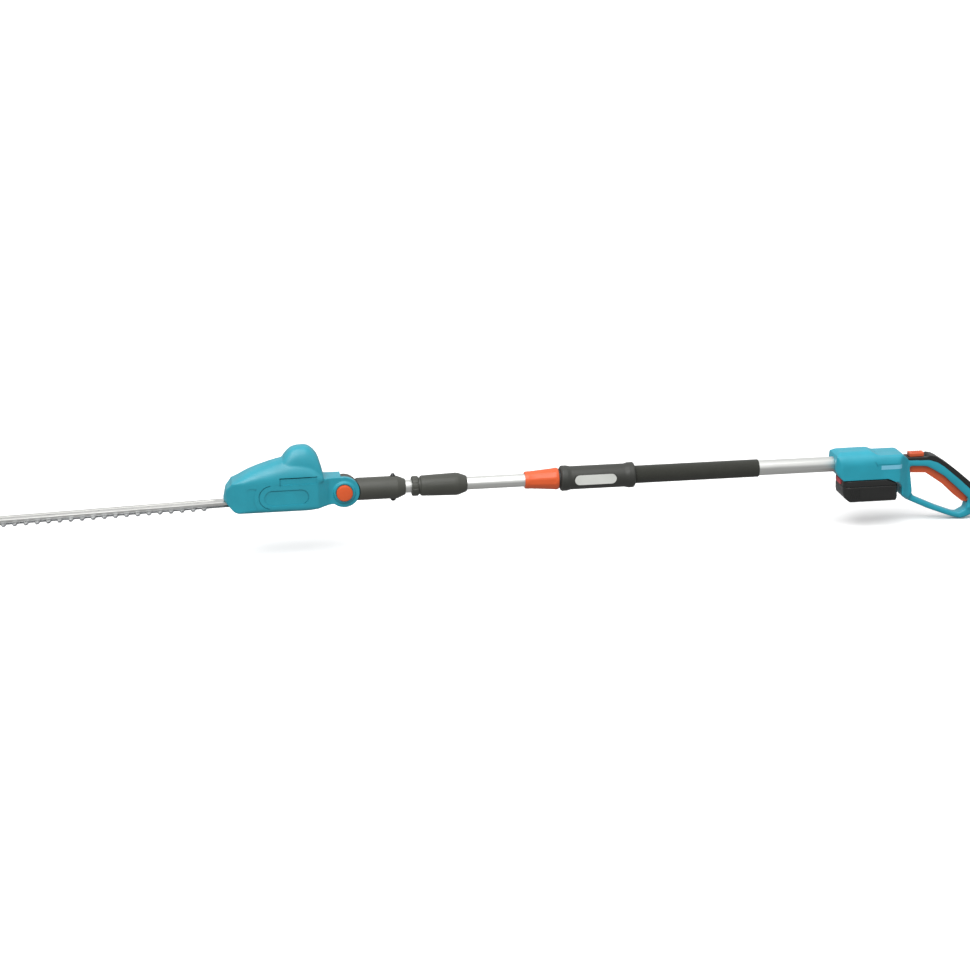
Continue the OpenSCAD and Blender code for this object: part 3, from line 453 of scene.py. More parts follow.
def eased(piece: Mesh, width: float, segments: int = 2, limit: float = 35.0) -> Mesh:
    """Break a machined or moulded piece's sharp edges.

    Args:
        piece: the piece.
        width: width of the broken edge in millimetres.
        segments: facets across it.
        limit: edges sharper than this many degrees are broken.

    Returns:
        The same piece.
    """
    modify(
        piece,
        "BEVEL",
        width=width * MM,
        segments=segments,
        limit_method="ANGLE",
        angle_limit=math.radians(limit),
        use_clamp_overlap=True,
    )
    return piece


def cast_smooth(piece: Mesh, voxel: float, passes: int) -> Mesh:
    """Give a piece the even, rounded skin of a moulding.

    Args:
        piece: the piece.
        voxel: size of the new skin's squares in millimetres.
        passes: how often the skin is relaxed.

    Returns:
        The same piece.
    """
    modify(piece, "REMESH", mode="VOXEL", voxel_size=voxel * MM)
    modify(piece, "SMOOTH", factor=0.5, iterations=passes)
    return piece


def relax_part(
    piece: Mesh, passes: int, keep_sharp: Sequence[tuple[Vector, Vector]]
) -> None:
    """Relax a skin everywhere except inside some boxes.

    Args:
        piece: the piece.
        passes: how often the skin is relaxed.
        keep_sharp: corners of the boxes to leave alone, in metres.
    """
    group = piece.vertex_groups.new(name="skin")
    free = [
        v.index
        for v in piece.data.vertices
        if not any(
            all(low[k] <= v.co[k] <= high[k] for k in range(3))
            for low, high in keep_sharp
        )
    ]
    group.add(free, 1.0, "REPLACE")
    modify(piece, "SMOOTH", factor=0.5, iterations=passes, vertex_group="skin")
    piece.vertex_groups.clear()


def at(table: Outline, x: float) -> float:
    """Read a value off the smooth curve through a table's rows.

    Args:
        table: rows of place and value, in rising order of place.
        x: the place.

    Returns:
        The value there, held beyond both ends.
    """
    if x <= table[0][0]:
        return table[0][1]
    if x >= table[-1][0]:
        return table[-1][1]
    row = max(i for i, (place, _) in enumerate(table[:-1]) if place <= x)
    rows = [table[max(0, min(len(table) - 1, row + k))] for k in (-1, 0, 1, 2)]
    (xa, va), (x0, v0), (x1, v1), (xb, vb) = rows
    span = x1 - x0
    leave = (v1 - va) / (x1 - xa) * span
    arrive = (vb - v0) / (xb - x0) * span
    t = (x - x0) / span
    return (
        (2 * t**3 - 3 * t**2 + 1) * v0
        + (t**3 - 2 * t**2 + t) * leave
        + (3 * t**2 - 2 * t**3) * v1
        + (t**3 - t**2) * arrive
    )


# Shading


def linear(colour: str) -> tuple[float, float, float, float]:
    """Turn an sRGB hex colour to the renderer's linear values.

    Args:
        colour: six hex digits.

    Returns:
        Linear red, green, blue and full alpha.
    """
    channels = [int(colour[i : i + 2], 16) / 255 for i in (0, 2, 4)]
    r, g, b = [
        c / 12.92 if c <= 0.04045 else ((c + 0.055) / 1.055) ** 2.4 for c in channels
    ]
    return r, g, b, 1.0


def add_node(
    tree: bpy.types.NodeTree,
    kind: str,
    settings: dict[str, object] | None = None,
    inputs: dict[str | int, object] | None = None,
) -> bpy.types.Node:
    """Add one node with its settings and links.

    Args:
        tree: the material's tree.
        kind: the node's type.
        settings: fields to set on the node.
        inputs: for each socket, a constant or the output that feeds it.

    Returns:
        The node.
    """
    node = tree.nodes.new(kind)
    for key, value in (settings or {}).items():
        setattr(node, key, value)
    for key, value in (inputs or {}).items():
        if isinstance(value, bpy.types.NodeSocket):
            tree.links.new(value, node.inputs[key])
        else:
            node.inputs[key].default_value = value
    return node


@dataclass(frozen=True)
class Finish:
    """A surface, with the colour and gloss that every finish has."""

    name: str
    colour: str
    roughness: float = 0.45
    metallic: float = 0.0

    def pattern(
        self, tree: bpy.types.NodeTree, place: Socket, shader: bpy.types.Node
    ) -> None:
        """Wire the surface's own pattern into its shader."""

    def shader_values(self) -> dict[str, object]:
        """Constants that sit on the shader's own sockets."""
        return {}

    def noise(
        self,
        tree: bpy.types.NodeTree,
        place: Socket,
        size: float,
        detail: float = 3.0,
        stretch: tuple[float, float, float] = (1.0, 1.0, 1.0),
    ) -> Socket:
        """Noise of a real size.

        Args:
            tree: the material's tree.
            place: the coordinates.
            size: distance from one blotch to the next, in millimetres.
            detail: octaves of finer noise.
            stretch: how much longer the blotches are along each axis.

        Returns:
            A value about 0.5.
        """
        where = add_node(
            tree,
            "ShaderNodeMapping",
            inputs={
                "Vector": place,
                "Scale": tuple(1000.0 / size / s for s in stretch),
            },
        ).outputs["Vector"]
        return add_node(
            tree,
            "ShaderNodeTexNoise",
            inputs={"Vector": where, "Scale": 1.0, "Detail": detail},
        ).outputs["Fac"]

    def spread(
        self, tree: bpy.types.NodeTree, value: Socket, low: float, high: float
    ) -> Socket:
        """Stretch a noise value to a range.

        Args:
            tree: the material's tree.
            value: the noise.
            low: result where the noise is lowest.
            high: result where it is highest.

        Returns:
            The stretched value.
        """
        return add_node(
            tree,
            "ShaderNodeMapRange",
            inputs={
                "Value": value,
                "From Min": 0.3,
                "From Max": 0.7,
                "To Min": low,
                "To Max": high,
            },
        ).outputs["Result"]

    def tint(
        self, tree: bpy.types.NodeTree, value: Socket, first: object, second: object
    ) -> Socket:
        """Mix two colours by a value.

        Args:
            tree: the material's tree.
            value: 0 for the first colour, 1 for the second.
            first: a colour or a socket.
            second: a colour or a socket.

        Returns:
            The mixed colour.
        """
        return add_node(
            tree,
            "ShaderNodeMix",
            {"data_type": "RGBA"},
            {0: value, 6: first, 7: second},
        ).outputs[2]

    def relief(
        self, tree: bpy.types.NodeTree, height: Socket, depth: float, strength: float
    ) -> Socket:
        """Bump from a height value.

        Args:
            tree: the material's tree.
            height: the height, from 0 to 1.
            depth: real depth of the relief in millimetres.
            strength: how much of it the eye gets.

        Returns:
            The bent normal.
        """
        return add_node(
            tree,
            "ShaderNodeBump",
            inputs={"Height": height, "Distance": depth * MM, "Strength": strength},
        ).outputs["Normal"]

    def wire(
        self,
        tree: bpy.types.NodeTree,
        shader: bpy.types.Node,
        colour: Socket,
        gloss: Socket,
        normal: Socket,
    ) -> None:
        """Link the three sockets that carry the pattern.

        Args:
            tree: the material's tree.
            shader: the shader to feed.
            colour: the body colour.
            gloss: the roughness.
            normal: the bent normal.
        """
        for name, value in (
            ("Base Color", colour),
            ("Roughness", gloss),
            ("Normal", normal),
        ):
            tree.links.new(value, shader.inputs[name])

    def shade(self, amount: float) -> tuple[float, float, float, float]:
        """The finish's colour, brighter or darker by a share."""
        r, g, b, a = linear(self.colour)
        return min(1.0, r * amount), min(1.0, g * amount), min(1.0, b * amount), a

    def material(self) -> bpy.types.Material:
        """Make the material once and hand it out again later."""
        found = bpy.data.materials.get(self.name)
        if found:
            return found
        made = bpy.data.materials.new(self.name)
        made.use_nodes = True
        tree = made.node_tree
        tree.nodes.clear()
        values = {
            "Base Color": linear(self.colour),
            "Roughness": self.roughness,
            "Metallic": self.metallic,
            **self.shader_values(),
        }
        shader = add_node(tree, "ShaderNodeBsdfPrincipled", inputs=values)
        add_node(
            tree, "ShaderNodeOutputMaterial", inputs={"Surface": shader.outputs["BSDF"]}
        )
        place = add_node(tree, "ShaderNodeTexCoord").outputs["Object"]
        self.pattern(tree, place, shader)
        made.diffuse_color = linear(self.colour)
        return made


@dataclass(frozen=True)
class MouldedPlastic(Finish):
    """Injection-moulded ABS or nylon off a spark-eroded tool.

    The eye gets an even body colour with faint cloudy drift where the melt flowed,
    and a fine pebble that breaks up the highlight. Real spark texture is about
    0.3 mm; it is drawn at 1.6 mm so that it still shows from a few metres.
    """

    grain: float = 1.6
    relief_depth: float = 0.09
    coat: float = 0.0
    printed: tuple[float, float, float, float] | None = None
    print_colour: str = "70B8D0"

    def shader_values(self) -> dict[str, object]:
        """Plastic's index and its faint clear skin."""
        return {"IOR": 1.5, "Coat Weight": self.coat, "Coat Roughness": 0.25}

    def pattern(
        self, tree: bpy.types.NodeTree, place: Socket, shader: bpy.types.Node
    ) -> None:
        """Wire drift, pebble and, where it has one, a plain printed band.

        Args:
            tree: the material's tree.
            place: object coordinates.
            shader: the shader to feed.
        """
        drift = self.spread(tree, self.noise(tree, place, 45.0), 0.0, 1.0)
        colour = self.tint(tree, drift, self.shade(0.93), self.shade(1.07))
        scuff = self.noise(tree, place, 7.0, 6.0, (6.0, 1.0, 1.0))
        if self.printed:
            colour = self.tint(
                tree, self.band(tree, place), colour, linear(self.print_colour)
            )
        pebble = self.noise(tree, place, self.grain, 2.0)
        gloss = self.spread(tree, scuff, self.roughness - 0.06, self.roughness + 0.08)
        normal = self.relief(tree, pebble, self.relief_depth, 0.35)
        self.wire(tree, shader, colour, gloss, normal)

    def band(self, tree: bpy.types.NodeTree, place: Socket) -> Socket:
        """A blank printed strip on the near side.

        Args:
            tree: the material's tree.
            place: object coordinates.

        Returns:
            1 inside the strip and 0 outside it.
        """
        x0, x1, z0, z1 = (v * MM for v in self.printed)
        axes = add_node(tree, "ShaderNodeSeparateXYZ", inputs={"Vector": place})
        inside: Socket | None = None
        for axis, middle, half in (
            ("X", (x0 + x1) / 2, (x1 - x0) / 2),
            ("Z", (z0 + z1) / 2, (z1 - z0) / 2),
            ("Y", -0.05, 0.03),
        ):
            near = add_node(
                tree,
                "ShaderNodeMath",
                {"operation": "COMPARE"},
                {0: axes.outputs[axis], 1: middle, 2: half},
            ).outputs[0]
            inside = (
                near
                if inside is None
                else add_node(
                    tree,
                    "ShaderNodeMath",
                    {"operation": "MULTIPLY"},
                    {0: inside, 1: near},
                ).outputs[0]
            )
        return inside


@dataclass(frozen=True)
class SoftRubber(Finish):
    """Thermoplastic rubber moulded over a handle.

    The eye gets a dry, nearly matt skin with a soft sheen at grazing angles and a small
    regular dimple. The real dimple is about 1 mm; it is drawn at 2 mm.
    """

    dimple: float = 2.0

    def shader_values(self) -> dict[str, object]:
        """Rubber's index and its dusty sheen."""
        return {"IOR": 1.48, "Sheen Weight": 0.08, "Sheen Roughness": 0.5}

    def pattern(
        self, tree: bpy.types.NodeTree, place: Socket, shader: bpy.types.Node
    ) -> None:
        """Wire the dimples and the hand-worn drift.

        Args:
            tree: the material's tree.
            place: object coordinates.
            shader: the shader to feed.
        """
        worn = self.spread(tree, self.noise(tree, place, 30.0), 0.0, 1.0)
        colour = self.tint(tree, worn, self.shade(0.85), self.shade(1.2))
        rubbed = self.noise(tree, place, 12.0)
        gloss = self.spread(tree, rubbed, self.roughness - 0.07, self.roughness + 0.07)
        dots = add_node(
            tree,
            "ShaderNodeTexVoronoi",
            inputs={"Vector": place, "Scale": 1000.0 / self.dimple, "Randomness": 0.35},
        ).outputs["Distance"]
        self.wire(tree, shader, colour, gloss, self.relief(tree, dots, 0.25, 0.4))


@dataclass(frozen=True)
class FoamSkin(Finish):
    """Closed-cell EVA foam tube.

    The eye gets a matt charcoal skin, pitted by burst cells of about 1 mm, drawn at 2.4 mm,
    with painted shade that darkens each pit against paler cell walls.
    """

    cell: float = 2.4

    def shader_values(self) -> dict[str, object]:
        """Foam has no clear skin and a soft sheen."""
        return {"IOR": 1.4, "Sheen Weight": 0.12, "Sheen Roughness": 0.6}

    def pattern(
        self, tree: bpy.types.NodeTree, place: Socket, shader: bpy.types.Node
    ) -> None:
        """Wire cells into the relief, and into the colour as painted shade in the pits.

        Args:
            tree: the material's tree.
            place: object coordinates.
            shader: the shader to feed.
        """
        cells = add_node(
            tree,
            "ShaderNodeTexVoronoi",
            inputs={"Vector": place, "Scale": 1000.0 / self.cell},
        ).outputs["Distance"]
        drift = self.noise(tree, place, 25.0)
        # Painted shade: darkest at the middle of each pit and palest on the cell walls,
        # following the relief
        pit_shade_tone = self.tint(tree, cells, self.shade(0.8), self.shade(1.25))
        colour = self.tint(
            tree, self.spread(tree, drift, 0.0, 0.6), pit_shade_tone, self.shade(1.0)
        )
        gloss = self.spread(tree, drift, self.roughness - 0.04, self.roughness + 0.04)
        self.wire(tree, shader, colour, gloss, self.relief(tree, cells, 0.5, 0.45))


@dataclass(frozen=True)
class DrawnMetal(Finish):
    """Drawn, extruded or ground metal, with lines left by the tool.

    The eye gets long fine lines along the work, which spread the highlight across them, and
    a slow change of gloss. Real die lines are 0.1 mm apart; they are drawn 1.2 mm apart.
    """

    line: float = 1.2
    stretch: tuple[float, float, float] = (160.0, 1.0, 1.0)
    depth: float = 0.012

    def pattern(
        self, tree: bpy.types.NodeTree, place: Socket, shader: bpy.types.Node
    ) -> None:
        """Wire lines into gloss, tone and relief.

        Args:
            tree: the material's tree.
            place: object coordinates.
            shader: the shader to feed.
        """
        lines = self.noise(tree, place, self.line, 2.0, self.stretch)
        cloud = self.noise(tree, place, 60.0)
        tone = self.spread(tree, lines, 0.0, 1.0)
        colour = self.tint(tree, tone, self.shade(0.9), self.shade(1.06))
        gloss = add_node(
            tree,
            "ShaderNodeMath",
            {"operation": "ADD"},
            {
                0: self.spread(tree, lines, self.roughness - 0.06, self.roughness + 0.06),
                1: self.spread(tree, cloud, -0.04, 0.04),
            },
        ).outputs[0]
        self.wire(tree, shader, colour, gloss, self.relief(tree, lines, self.depth, 0.5))


@dataclass(frozen=True)
class RoughMetal(Finish):
    """Die-cast, plated or blackened metal with no direction to its grain.

    The eye gets a satin surface with small blotches: the cast skin's flow marks, or the
    crystals of zinc. Zinc crystals are about 0.5 mm; they are drawn at 1.5 mm.
    """

    blotch: float = 1.5
    depth: float = 0.05

    def pattern(
        self, tree: bpy.types.NodeTree, place: Socket, shader: bpy.types.Node
    ) -> None:
        """Wire blotches into tone, gloss and relief.

        Args:
            tree: the material's tree.
            place: object coordinates.
            shader: the shader to feed.
        """
        fine = self.noise(tree, place, self.blotch, 4.0)
        wide = self.noise(tree, place, self.blotch * 12)
        tone = self.spread(tree, wide, 0.0, 1.0)
        colour = self.tint(tree, tone, self.shade(0.85), self.shade(1.1))
        gloss = self.spread(tree, fine, self.roughness - 0.1, self.roughness + 0.1)
        self.wire(tree, shader, colour, gloss, self.relief(tree, fine, self.depth, 0.4))


@dataclass(frozen=True)
class PatternedSkin(Finish):
    """Thin skins inside the tool: shrink film, board lacquer and cable sheath.

    The eye gets a glossy film with stripes or patches of a second tone: the wrap's print
    edge, the board's tracks or the sheath's faint rings.
    """

    second: str = "FFFFFF"
    pitch: float = 6.0
    share: float = 0.5

    def pattern(
        self, tree: bpy.types.NodeTree, place: Socket, shader: bpy.types.Node
    ) -> None:
        """Wire wavering stripes of the second tone.

        Args:
            tree: the material's tree.
            place: object coordinates.
            shader: the shader to feed.
        """
        stripes = add_node(
            tree,
            "ShaderNodeTexWave",
            inputs={
                "Vector": place,
                "Scale": 1000.0 / self.pitch / math.tau,
                "Distortion": 3.0,
                "Detail": 2.0,
            },
        ).outputs["Fac"]
        mask = add_node(
            tree,
            "ShaderNodeMath",
            {"operation": "MULTIPLY"},
            {0: stripes, 1: self.share},
        ).outputs[0]
        colour = self.tint(tree, mask, linear(self.colour), linear(self.second))
        gloss = self.spread(tree, stripes, self.roughness - 0.05, self.roughness + 0.1)
        self.wire(tree, shader, colour, gloss, self.relief(tree, stripes, 0.1, 0.3))


# ABS with a satin gloss: bright, slightly green blue
HEAD_TEAL = MouldedPlastic("moulded_abs_head", "1C90A2", 0.42, coat=0.12)
HOUSING_TEAL = MouldedPlastic(
    "moulded_abs_housing", "1894A8", 0.42, coat=0.12, printed=(166.0, 209.5, -7.0, 1.3)
)
# Glass-filled nylon: matt grey with a slightly coarser pebble
GREY_NYLON = MouldedPlastic("glass_filled_nylon", "3F403A", 0.5, grain=2.0)
GRIP_NYLON = MouldedPlastic("moulded_nylon_grip", "30312D", 0.5, grain=2.0)
BADGE_PLATE = MouldedPlastic("painted_plate", "D0D2CD", 0.4, grain=3.0)
ORANGE_ABS = MouldedPlastic("moulded_abs_orange", "D45624", 0.4, coat=0.1)
TRIGGER_NYLON = MouldedPlastic("moulded_nylon_trigger", "C8552E", 0.46)
BATTERY_BLACK = MouldedPlastic("moulded_abs_battery", "171817", 0.4, coat=0.08)
LATCH_RED = MouldedPlastic("moulded_nylon_latch", "C4434B", 0.45)
BLACK_NYLON = MouldedPlastic("moulded_nylon_black", "222222", 0.5)
SOFT_SKIN = SoftRubber("overmoulded_rubber", "0E0F0E", 0.62)
FOAM = FoamSkin("eva_foam", "272822", 0.85)
TUBE_METAL = DrawnMetal("anodised_aluminium_tube", "DADBD8", 0.45, 1.0)
BAR_METAL = DrawnMetal("extruded_aluminium_bar", "DADAD7", 0.3, 1.0)
# Blades are ground across their length, so their lines run from tooth to tooth
BLADE_METAL = DrawnMetal(
    "ground_blade_steel", "A9ABAD", 0.28, 1.0, stretch=(1.0, 60.0, 1.0)
)
ZINC = RoughMetal("zinc_plated_steel", "9FA1A3", 0.35, 1.0)
BLACKENED = RoughMetal("blackened_steel", "3B3C3D", 0.42, 1.0)
CASTING = RoughMetal("die_cast_aluminium", "A2A4A6", 0.5, 1.0, blotch=2.5)
MOTOR_CAN = DrawnMetal(
    "plated_motor_can", "7E8083", 0.36, 1.0, stretch=(1.0, 1.0, 40.0)
)
CELL_WRAP = PatternedSkin("pvc_shrink_wrap", "2F6FA3", 0.3, second="4A8FC0")
BOARD = PatternedSkin("lacquered_board", "0E5A32", 0.35, second="2E8A50", pitch=3.0)
SHEATH = PatternedSkin("cable_sheath", "161616", 0.5, second="2A2A2A", pitch=2.0)
LEADS = PatternedSkin("pvc_lead", "9C1D16", 0.4, second="B5352C", pitch=3.0)


def dress(
    piece: Mesh,
    finish: Finish,
    body: str,
    nodes: Iterable[str] = (),
    angle: float = 32.0,
) -> Mesh:
    """Finish a piece: smooth it, colour it and hang it on its body.

    Args:
        piece: the finished shape.
        finish: its surface.
        body: the CAD body it moves with.
        nodes: CAD nodes that it stands for.
        angle: edges flatter than this many degrees look smooth.

    Returns:
        The same piece.
    """
    choose(piece)
    bpy.ops.object.transform_apply(location=True, rotation=True, scale=True)
    bpy.ops.object.shade_smooth_by_angle(angle=math.radians(angle))
    piece.data.materials.clear()
    piece.data.materials.append(finish.material())
    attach(piece, body)
    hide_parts(*nodes)
    log.info("%s: %d faces, on %s", piece.name, len(piece.data.polygons), body)
    return piece


def broken_edges(
    node: str,
    name: str,
    finish: Finish,
    body: str,
    slot: str,
    width: float,
    segments: int = 2,
    limit: float = 35.0,
) -> None:
    """Copy a CAD node, break its edges and dress it in its place.

    Args:
        node: the CAD node.
        name: name of the new piece.
        finish: its surface.
        body: the CAD body it moves with.
        slot: not used.
        width: width of the broken edge in millimetres.
        segments: facets across it.
        limit: edges sharper than this many degrees are broken.
    """
    piece = eased(taken_from(node, name), width, segments, limit)
    dress(piece, finish, body, [node])


def smooth_cast(
    node: str,
    name: str,
    finish: Finish,
    body: str,
    voxel: float,
    passes: int,
) -> None:
    """Copy a CAD node, give it a moulding's even skin and dress it in its place.

    Args:
        node: the CAD node.
        name: name of the new piece.
        finish: its surface.
        body: the CAD body it moves with.
        voxel: size of the skin's squares in millimetres.
        passes: how often the skin is relaxed.
    """
    piece = cast_smooth(taken_from(node, name), voxel, passes)
    dress(piece, finish, body, [node])


def dress_node(node: str, finish: Finish) -> None:
    """Give a CAD node that stays its own finish.

    Args:
        node: the CAD node.
        finish: its surface.
    """
    piece = frame["nodes"][node]
    piece.data.materials.clear()
    piece.data.materials.append(finish.material())
    log.info("%s: kept from the CAD", node)


def moulded_pair(name: str, nodes: tuple[str, str], voxel: float) -> Mesh:
    """Fuse a shell's two halves into one even skin.

    Args:
        name: name of the fused shell.
        nodes: the near and the far half.
        voxel: size of the skin's squares in millimetres.

    Returns:
        The fused shell, not yet relaxed.
    """
    near = taken_from(nodes[0], name)
    far = taken_from(nodes[1], name + "_far")
    choose(near, far)
    bpy.ops.object.join()
    modify(near, "REMESH", mode="VOXEL", voxel_size=voxel * MM)
    return near


def half_of(shell: Mesh, name: str, side: Side, gap: float = 0.1) -> Mesh:
    """Part a fused shell along its middle.

    Args:
        shell: the fused shell, which stays.
        name: name of the half.
        side: which half to keep.
        gap: half of the open seam in millimetres.

    Returns:
        The half, closed along the seam.
    """
    half = duplicate(shell, name)
    reach = sorted((side.value * gap, side.value * 60.0))
    box = [(-1300.0, -200.0), (500.0, -200.0), (500.0, 200.0), (-1300.0, 200.0)]
    keep_inside(half, drawn_out("parting_block", box, Along.Y, *reach))
    return half


# Sub-assemblies


@dataclass
class TrimmerHead:
    """The tilting head: two moulded shells, the tilt button and the hinge."""

    pivot: float = -898.0
    side: float = 36.0
    voxel: float = 1.1
    passes: int = 24
    recess: float = 1.5
    pocket_r: float = 15.95
    pocket_floor: float = -12.4
    pin_circle: float = 10.0
    pin_r: float = 1.9
    wall: float = 2.8
    spring: float = 30.0
    stations: int = 34
    body_power: float = 2.3
    hump_power: float = 2.9
    skin_floor: float = 26.0
    skin_steps: int = 40
    ear_front: float = -38.0
    door: Rounded = (-123.5, -53.0, 24.5, 37.5, 1.5)
    door_line: Rounded = (-124.5, -52.0, 36.6, 38.8, 0.5)
    door_step: Rounded = (-124.5, -122.4, 23.0, 38.0, 0.5)
    panel: tuple[float, float, float, float] = (-154.6, -69.0, -15.5, 15.0)
    slit: Outline = ((-260.0, -21.5), (-150.0, -19.0), (-150.0, -6.5), (-260.0, -6.0))
    slit_half: float = 15.4
    vents: int = 5
    vent_pitch: float = 9.0
    body_tops: Outline = (
        (-216.0, 31.0),
        (-205.0, 37.0),
        (-180.0, 51.0),
        (-147.0, 63.0),
        (-116.0, 71.0),
        (-95.0, 73.0),
        (-75.0, 70.0),
        (-58.0, 61.0),
        (-42.0, 40.0),
    )
    body_widths: Outline = (
        (-216.0, 27.0),
        (-205.0, 31.0),
        (-192.0, 34.0),
        (-170.0, 35.8),
        (-52.0, 35.8),
        (-40.0, 31.0),
    )
    hump_widths: Outline = ((-130.0, 30.0), (-30.0, 30.0))
    hump_tops: Outline = (
        (-122.0, 60.0),
        (-117.0, 70.0),
        (-109.0, 81.5),
        (-100.0, 89.5),
        (-91.0, 93.0),
        (-82.0, 94.0),
        (-69.0, 93.0),
        (-57.0, 84.5),
        (-48.0, 70.5),
        (-40.0, 43.0),
    )

    def place(self, outline: Outline) -> list[tuple[float, float]]:
        """Move an outline from the pivot to the pole's frame."""
        return [(x + self.pivot, z) for x, z in outline]

    def carve(self, shell: Mesh, outline: Outline, depth: float) -> None:
        """Sink an outline into both flanks of the head.

        Args:
            shell: the fused shell.
            outline: corners from the pivot, in millimetres.
            depth: how deep it goes below the flank.
        """
        sink(shell, self.place(outline), self.side, depth, 5.0)

    def dome(
        self,
        name: str,
        tops: Outline,
        widths: Outline,
        power: float,
        inset: float,
        floor: float,
    ) -> Mesh:
        """Loft one rounded roof of the head.

        Args:
            name: name of the solid.
            tops: height of the roof along the head, from the pivot.
            widths: half its width along the head.
            power: 2 for an ellipse, more for squarer shoulders.
            inset: how far inside the outer skin it lies.
            floor: height of its flat underside.

        Returns:
            The closed solid.
        """
        start, end = tops[0][0] + inset, tops[-1][0] - inset
        rings = []
        for i in range(self.stations):
            x = start + (end - start) * i / (self.stations - 1)
            half = at(widths, x) - inset
            rise = max(1.0, at(tops, x) - inset - self.spring)
            ring = []
            for j in range(self.skin_steps + 1):
                turn = math.pi * j / self.skin_steps
                c, s = math.cos(turn), math.sin(turn)
                y = half * math.copysign(abs(c) ** (2 / power), c)
                z = self.spring + rise * abs(s) ** (2 / power)
                ring.append(Vector((x + self.pivot, y, z)) * MM)
            ring.append(Vector((x + self.pivot, -half, floor)) * MM)
            ring.append(Vector((x + self.pivot, half, floor)) * MM)
            rings.append(ring)
        return lofted(name, rings)

    def round_roof(self, shell: Mesh) -> None:
        """Trade the CAD's square shoulders for rounded ones of the same wall.

        Args:
            shell: the fused shell.
        """
        body = (self.body_tops, self.body_widths, self.body_power)
        hump = (self.hump_tops, self.hump_widths, self.hump_power)
        below = [(-300, -60), (40, -60), (40, 31), (-300, 31)]
        outer = self.dome("roof_body", *body, 0.0, -60.0)
        fuse(
            outer,
            self.dome("roof_hump", *hump, 0.0, -60.0),
            drawn_out("roof_rest", self.place(below), Along.Y, -60.0, 60.0),
        )
        skin = self.dome("skin_body", *body, 0.0, self.skin_floor)
        fuse(skin, self.dome("skin_hump", *hump, 0.0, self.skin_floor))
        for solid in (body, hump):
            cut(skin, self.dome("hollow", *solid, self.wall, -10.0))
        keep_inside(shell, outer)
        choose(shell, skin)
        bpy.ops.object.join()
        modify(shell, "REMESH", mode="VOXEL", voxel_size=self.voxel * MM)

    def shells(self) -> None:
        """Build both halves of the head with their sunk panels and lines."""
        shell = moulded_pair(
            "head_shell", ("head_shell_left", "head_shell_right"), self.voxel
        )
        self.round_roof(shell)
        ears = (
            Vector((self.pivot + self.ear_front, -60, -60)) * MM,
            Vector((self.pivot + 60, 60, 60)) * MM,
        )
        relax_part(shell, self.passes, [ears])
        modify(shell, "SMOOTH", factor=0.5, iterations=4)
        for outline, depth in (
            (rounded_box(*self.door), self.recess),
            (rounded_box(*self.door_line), 3.2),
            (rounded_box(*self.door_step), 2.4),
            (obround(*self.panel), self.recess),
            *((line, 2.3) for line in self.outline_of_panel()),
            (self.cheek(), 1.3),
        ):
            self.carve(shell, outline, depth)
        reach = (-self.slit_half, self.slit_half)
        cut(shell, drawn_out("slit", self.place(self.slit), Along.Y, *reach))
        self.button_pocket(shell)
        for i in range(self.vents):
            x = -98.0 + self.vent_pitch * i
            vent = rounded_box(x, x + 4.0, 52.0, 72.0, 1.9)
            cut(shell, drawn_out("vent", self.place(vent), Along.Y, 22.0, 40.0))
        for side, node in (
            (Side.NEAR, "head_shell_left"),
            (Side.FAR, "head_shell_right"),
        ):
            half = half_of(shell, node.replace("shell", "moulding"), side)
            dress(half, HEAD_TEAL, "head", [node])
        remove(shell)

    def button_pocket(self, shell: Mesh) -> None:
        """Cut the tilt button's pocket and its three pin holes to size.

        Args:
            shell: the fused shell.
        """
        pocket = self.place(arc(0.0, 0.0, self.pocket_r, 0, 352.5, 47))
        cut(shell, drawn_out("pocket", pocket, Along.Y, -30.0, self.pocket_floor))
        for turn in (60, 180, 300):
            spot = math.radians(turn)
            x, z = self.pin_circle * math.cos(spot), -self.pin_circle * math.sin(spot)
            hole = self.place(arc(x, z, self.pin_r, 0, 345, 23))
            cut(shell, drawn_out("pin_hole", hole, Along.Y, -25.0, -8.0))

    def outline_of_panel(self) -> list[list[tuple[float, float]]]:
        """The fine line along the top and the rear end of the sunk panel."""
        outer = arc(-84.0, -0.25, 15.25, -70, 90, 14)
        inner = arc(-84.0, -0.25, 13.2, 90, -70, 14)
        top = [(-141.0, 13.0), (-84.0, 13.0), (-84.0, 15.0), (-141.0, 15.0)]
        brow = arc(-142.0, 1.5, 23.4, 90, 262, 18) + arc(-142.0, 1.5, 21.6, 262, 90, 18)
        return [outer + inner, top, brow]

    def cheek(self) -> list[tuple[float, float]]:
        """The shallow curved hollow behind the nose."""
        outer = arc(-152.0, 0.0, 38.0, 148, 212, 14)
        inner = arc(-136.0, 0.0, 38.0, 212, 148, 14)
        return outer + inner

    def small_parts(self) -> None:
        """Build the button, hinge and screws with their edges broken."""
        broken_edges(
            "tilt_button", "tilt_button_cap", ORANGE_ABS, "tilt_lock", "orange", 0.8, 3
        )
        for node, finish in (
            ("hinge_bolt", BLACKENED),
            ("hinge_nut", ZINC),
            ("head_screws", BLACKENED),
        ):
            broken_edges(node, node + "_eased", finish, "head", "steel", 0.3)

    def build(self) -> None:
        """Build every piece of the head."""
        self.shells()
        self.small_parts()


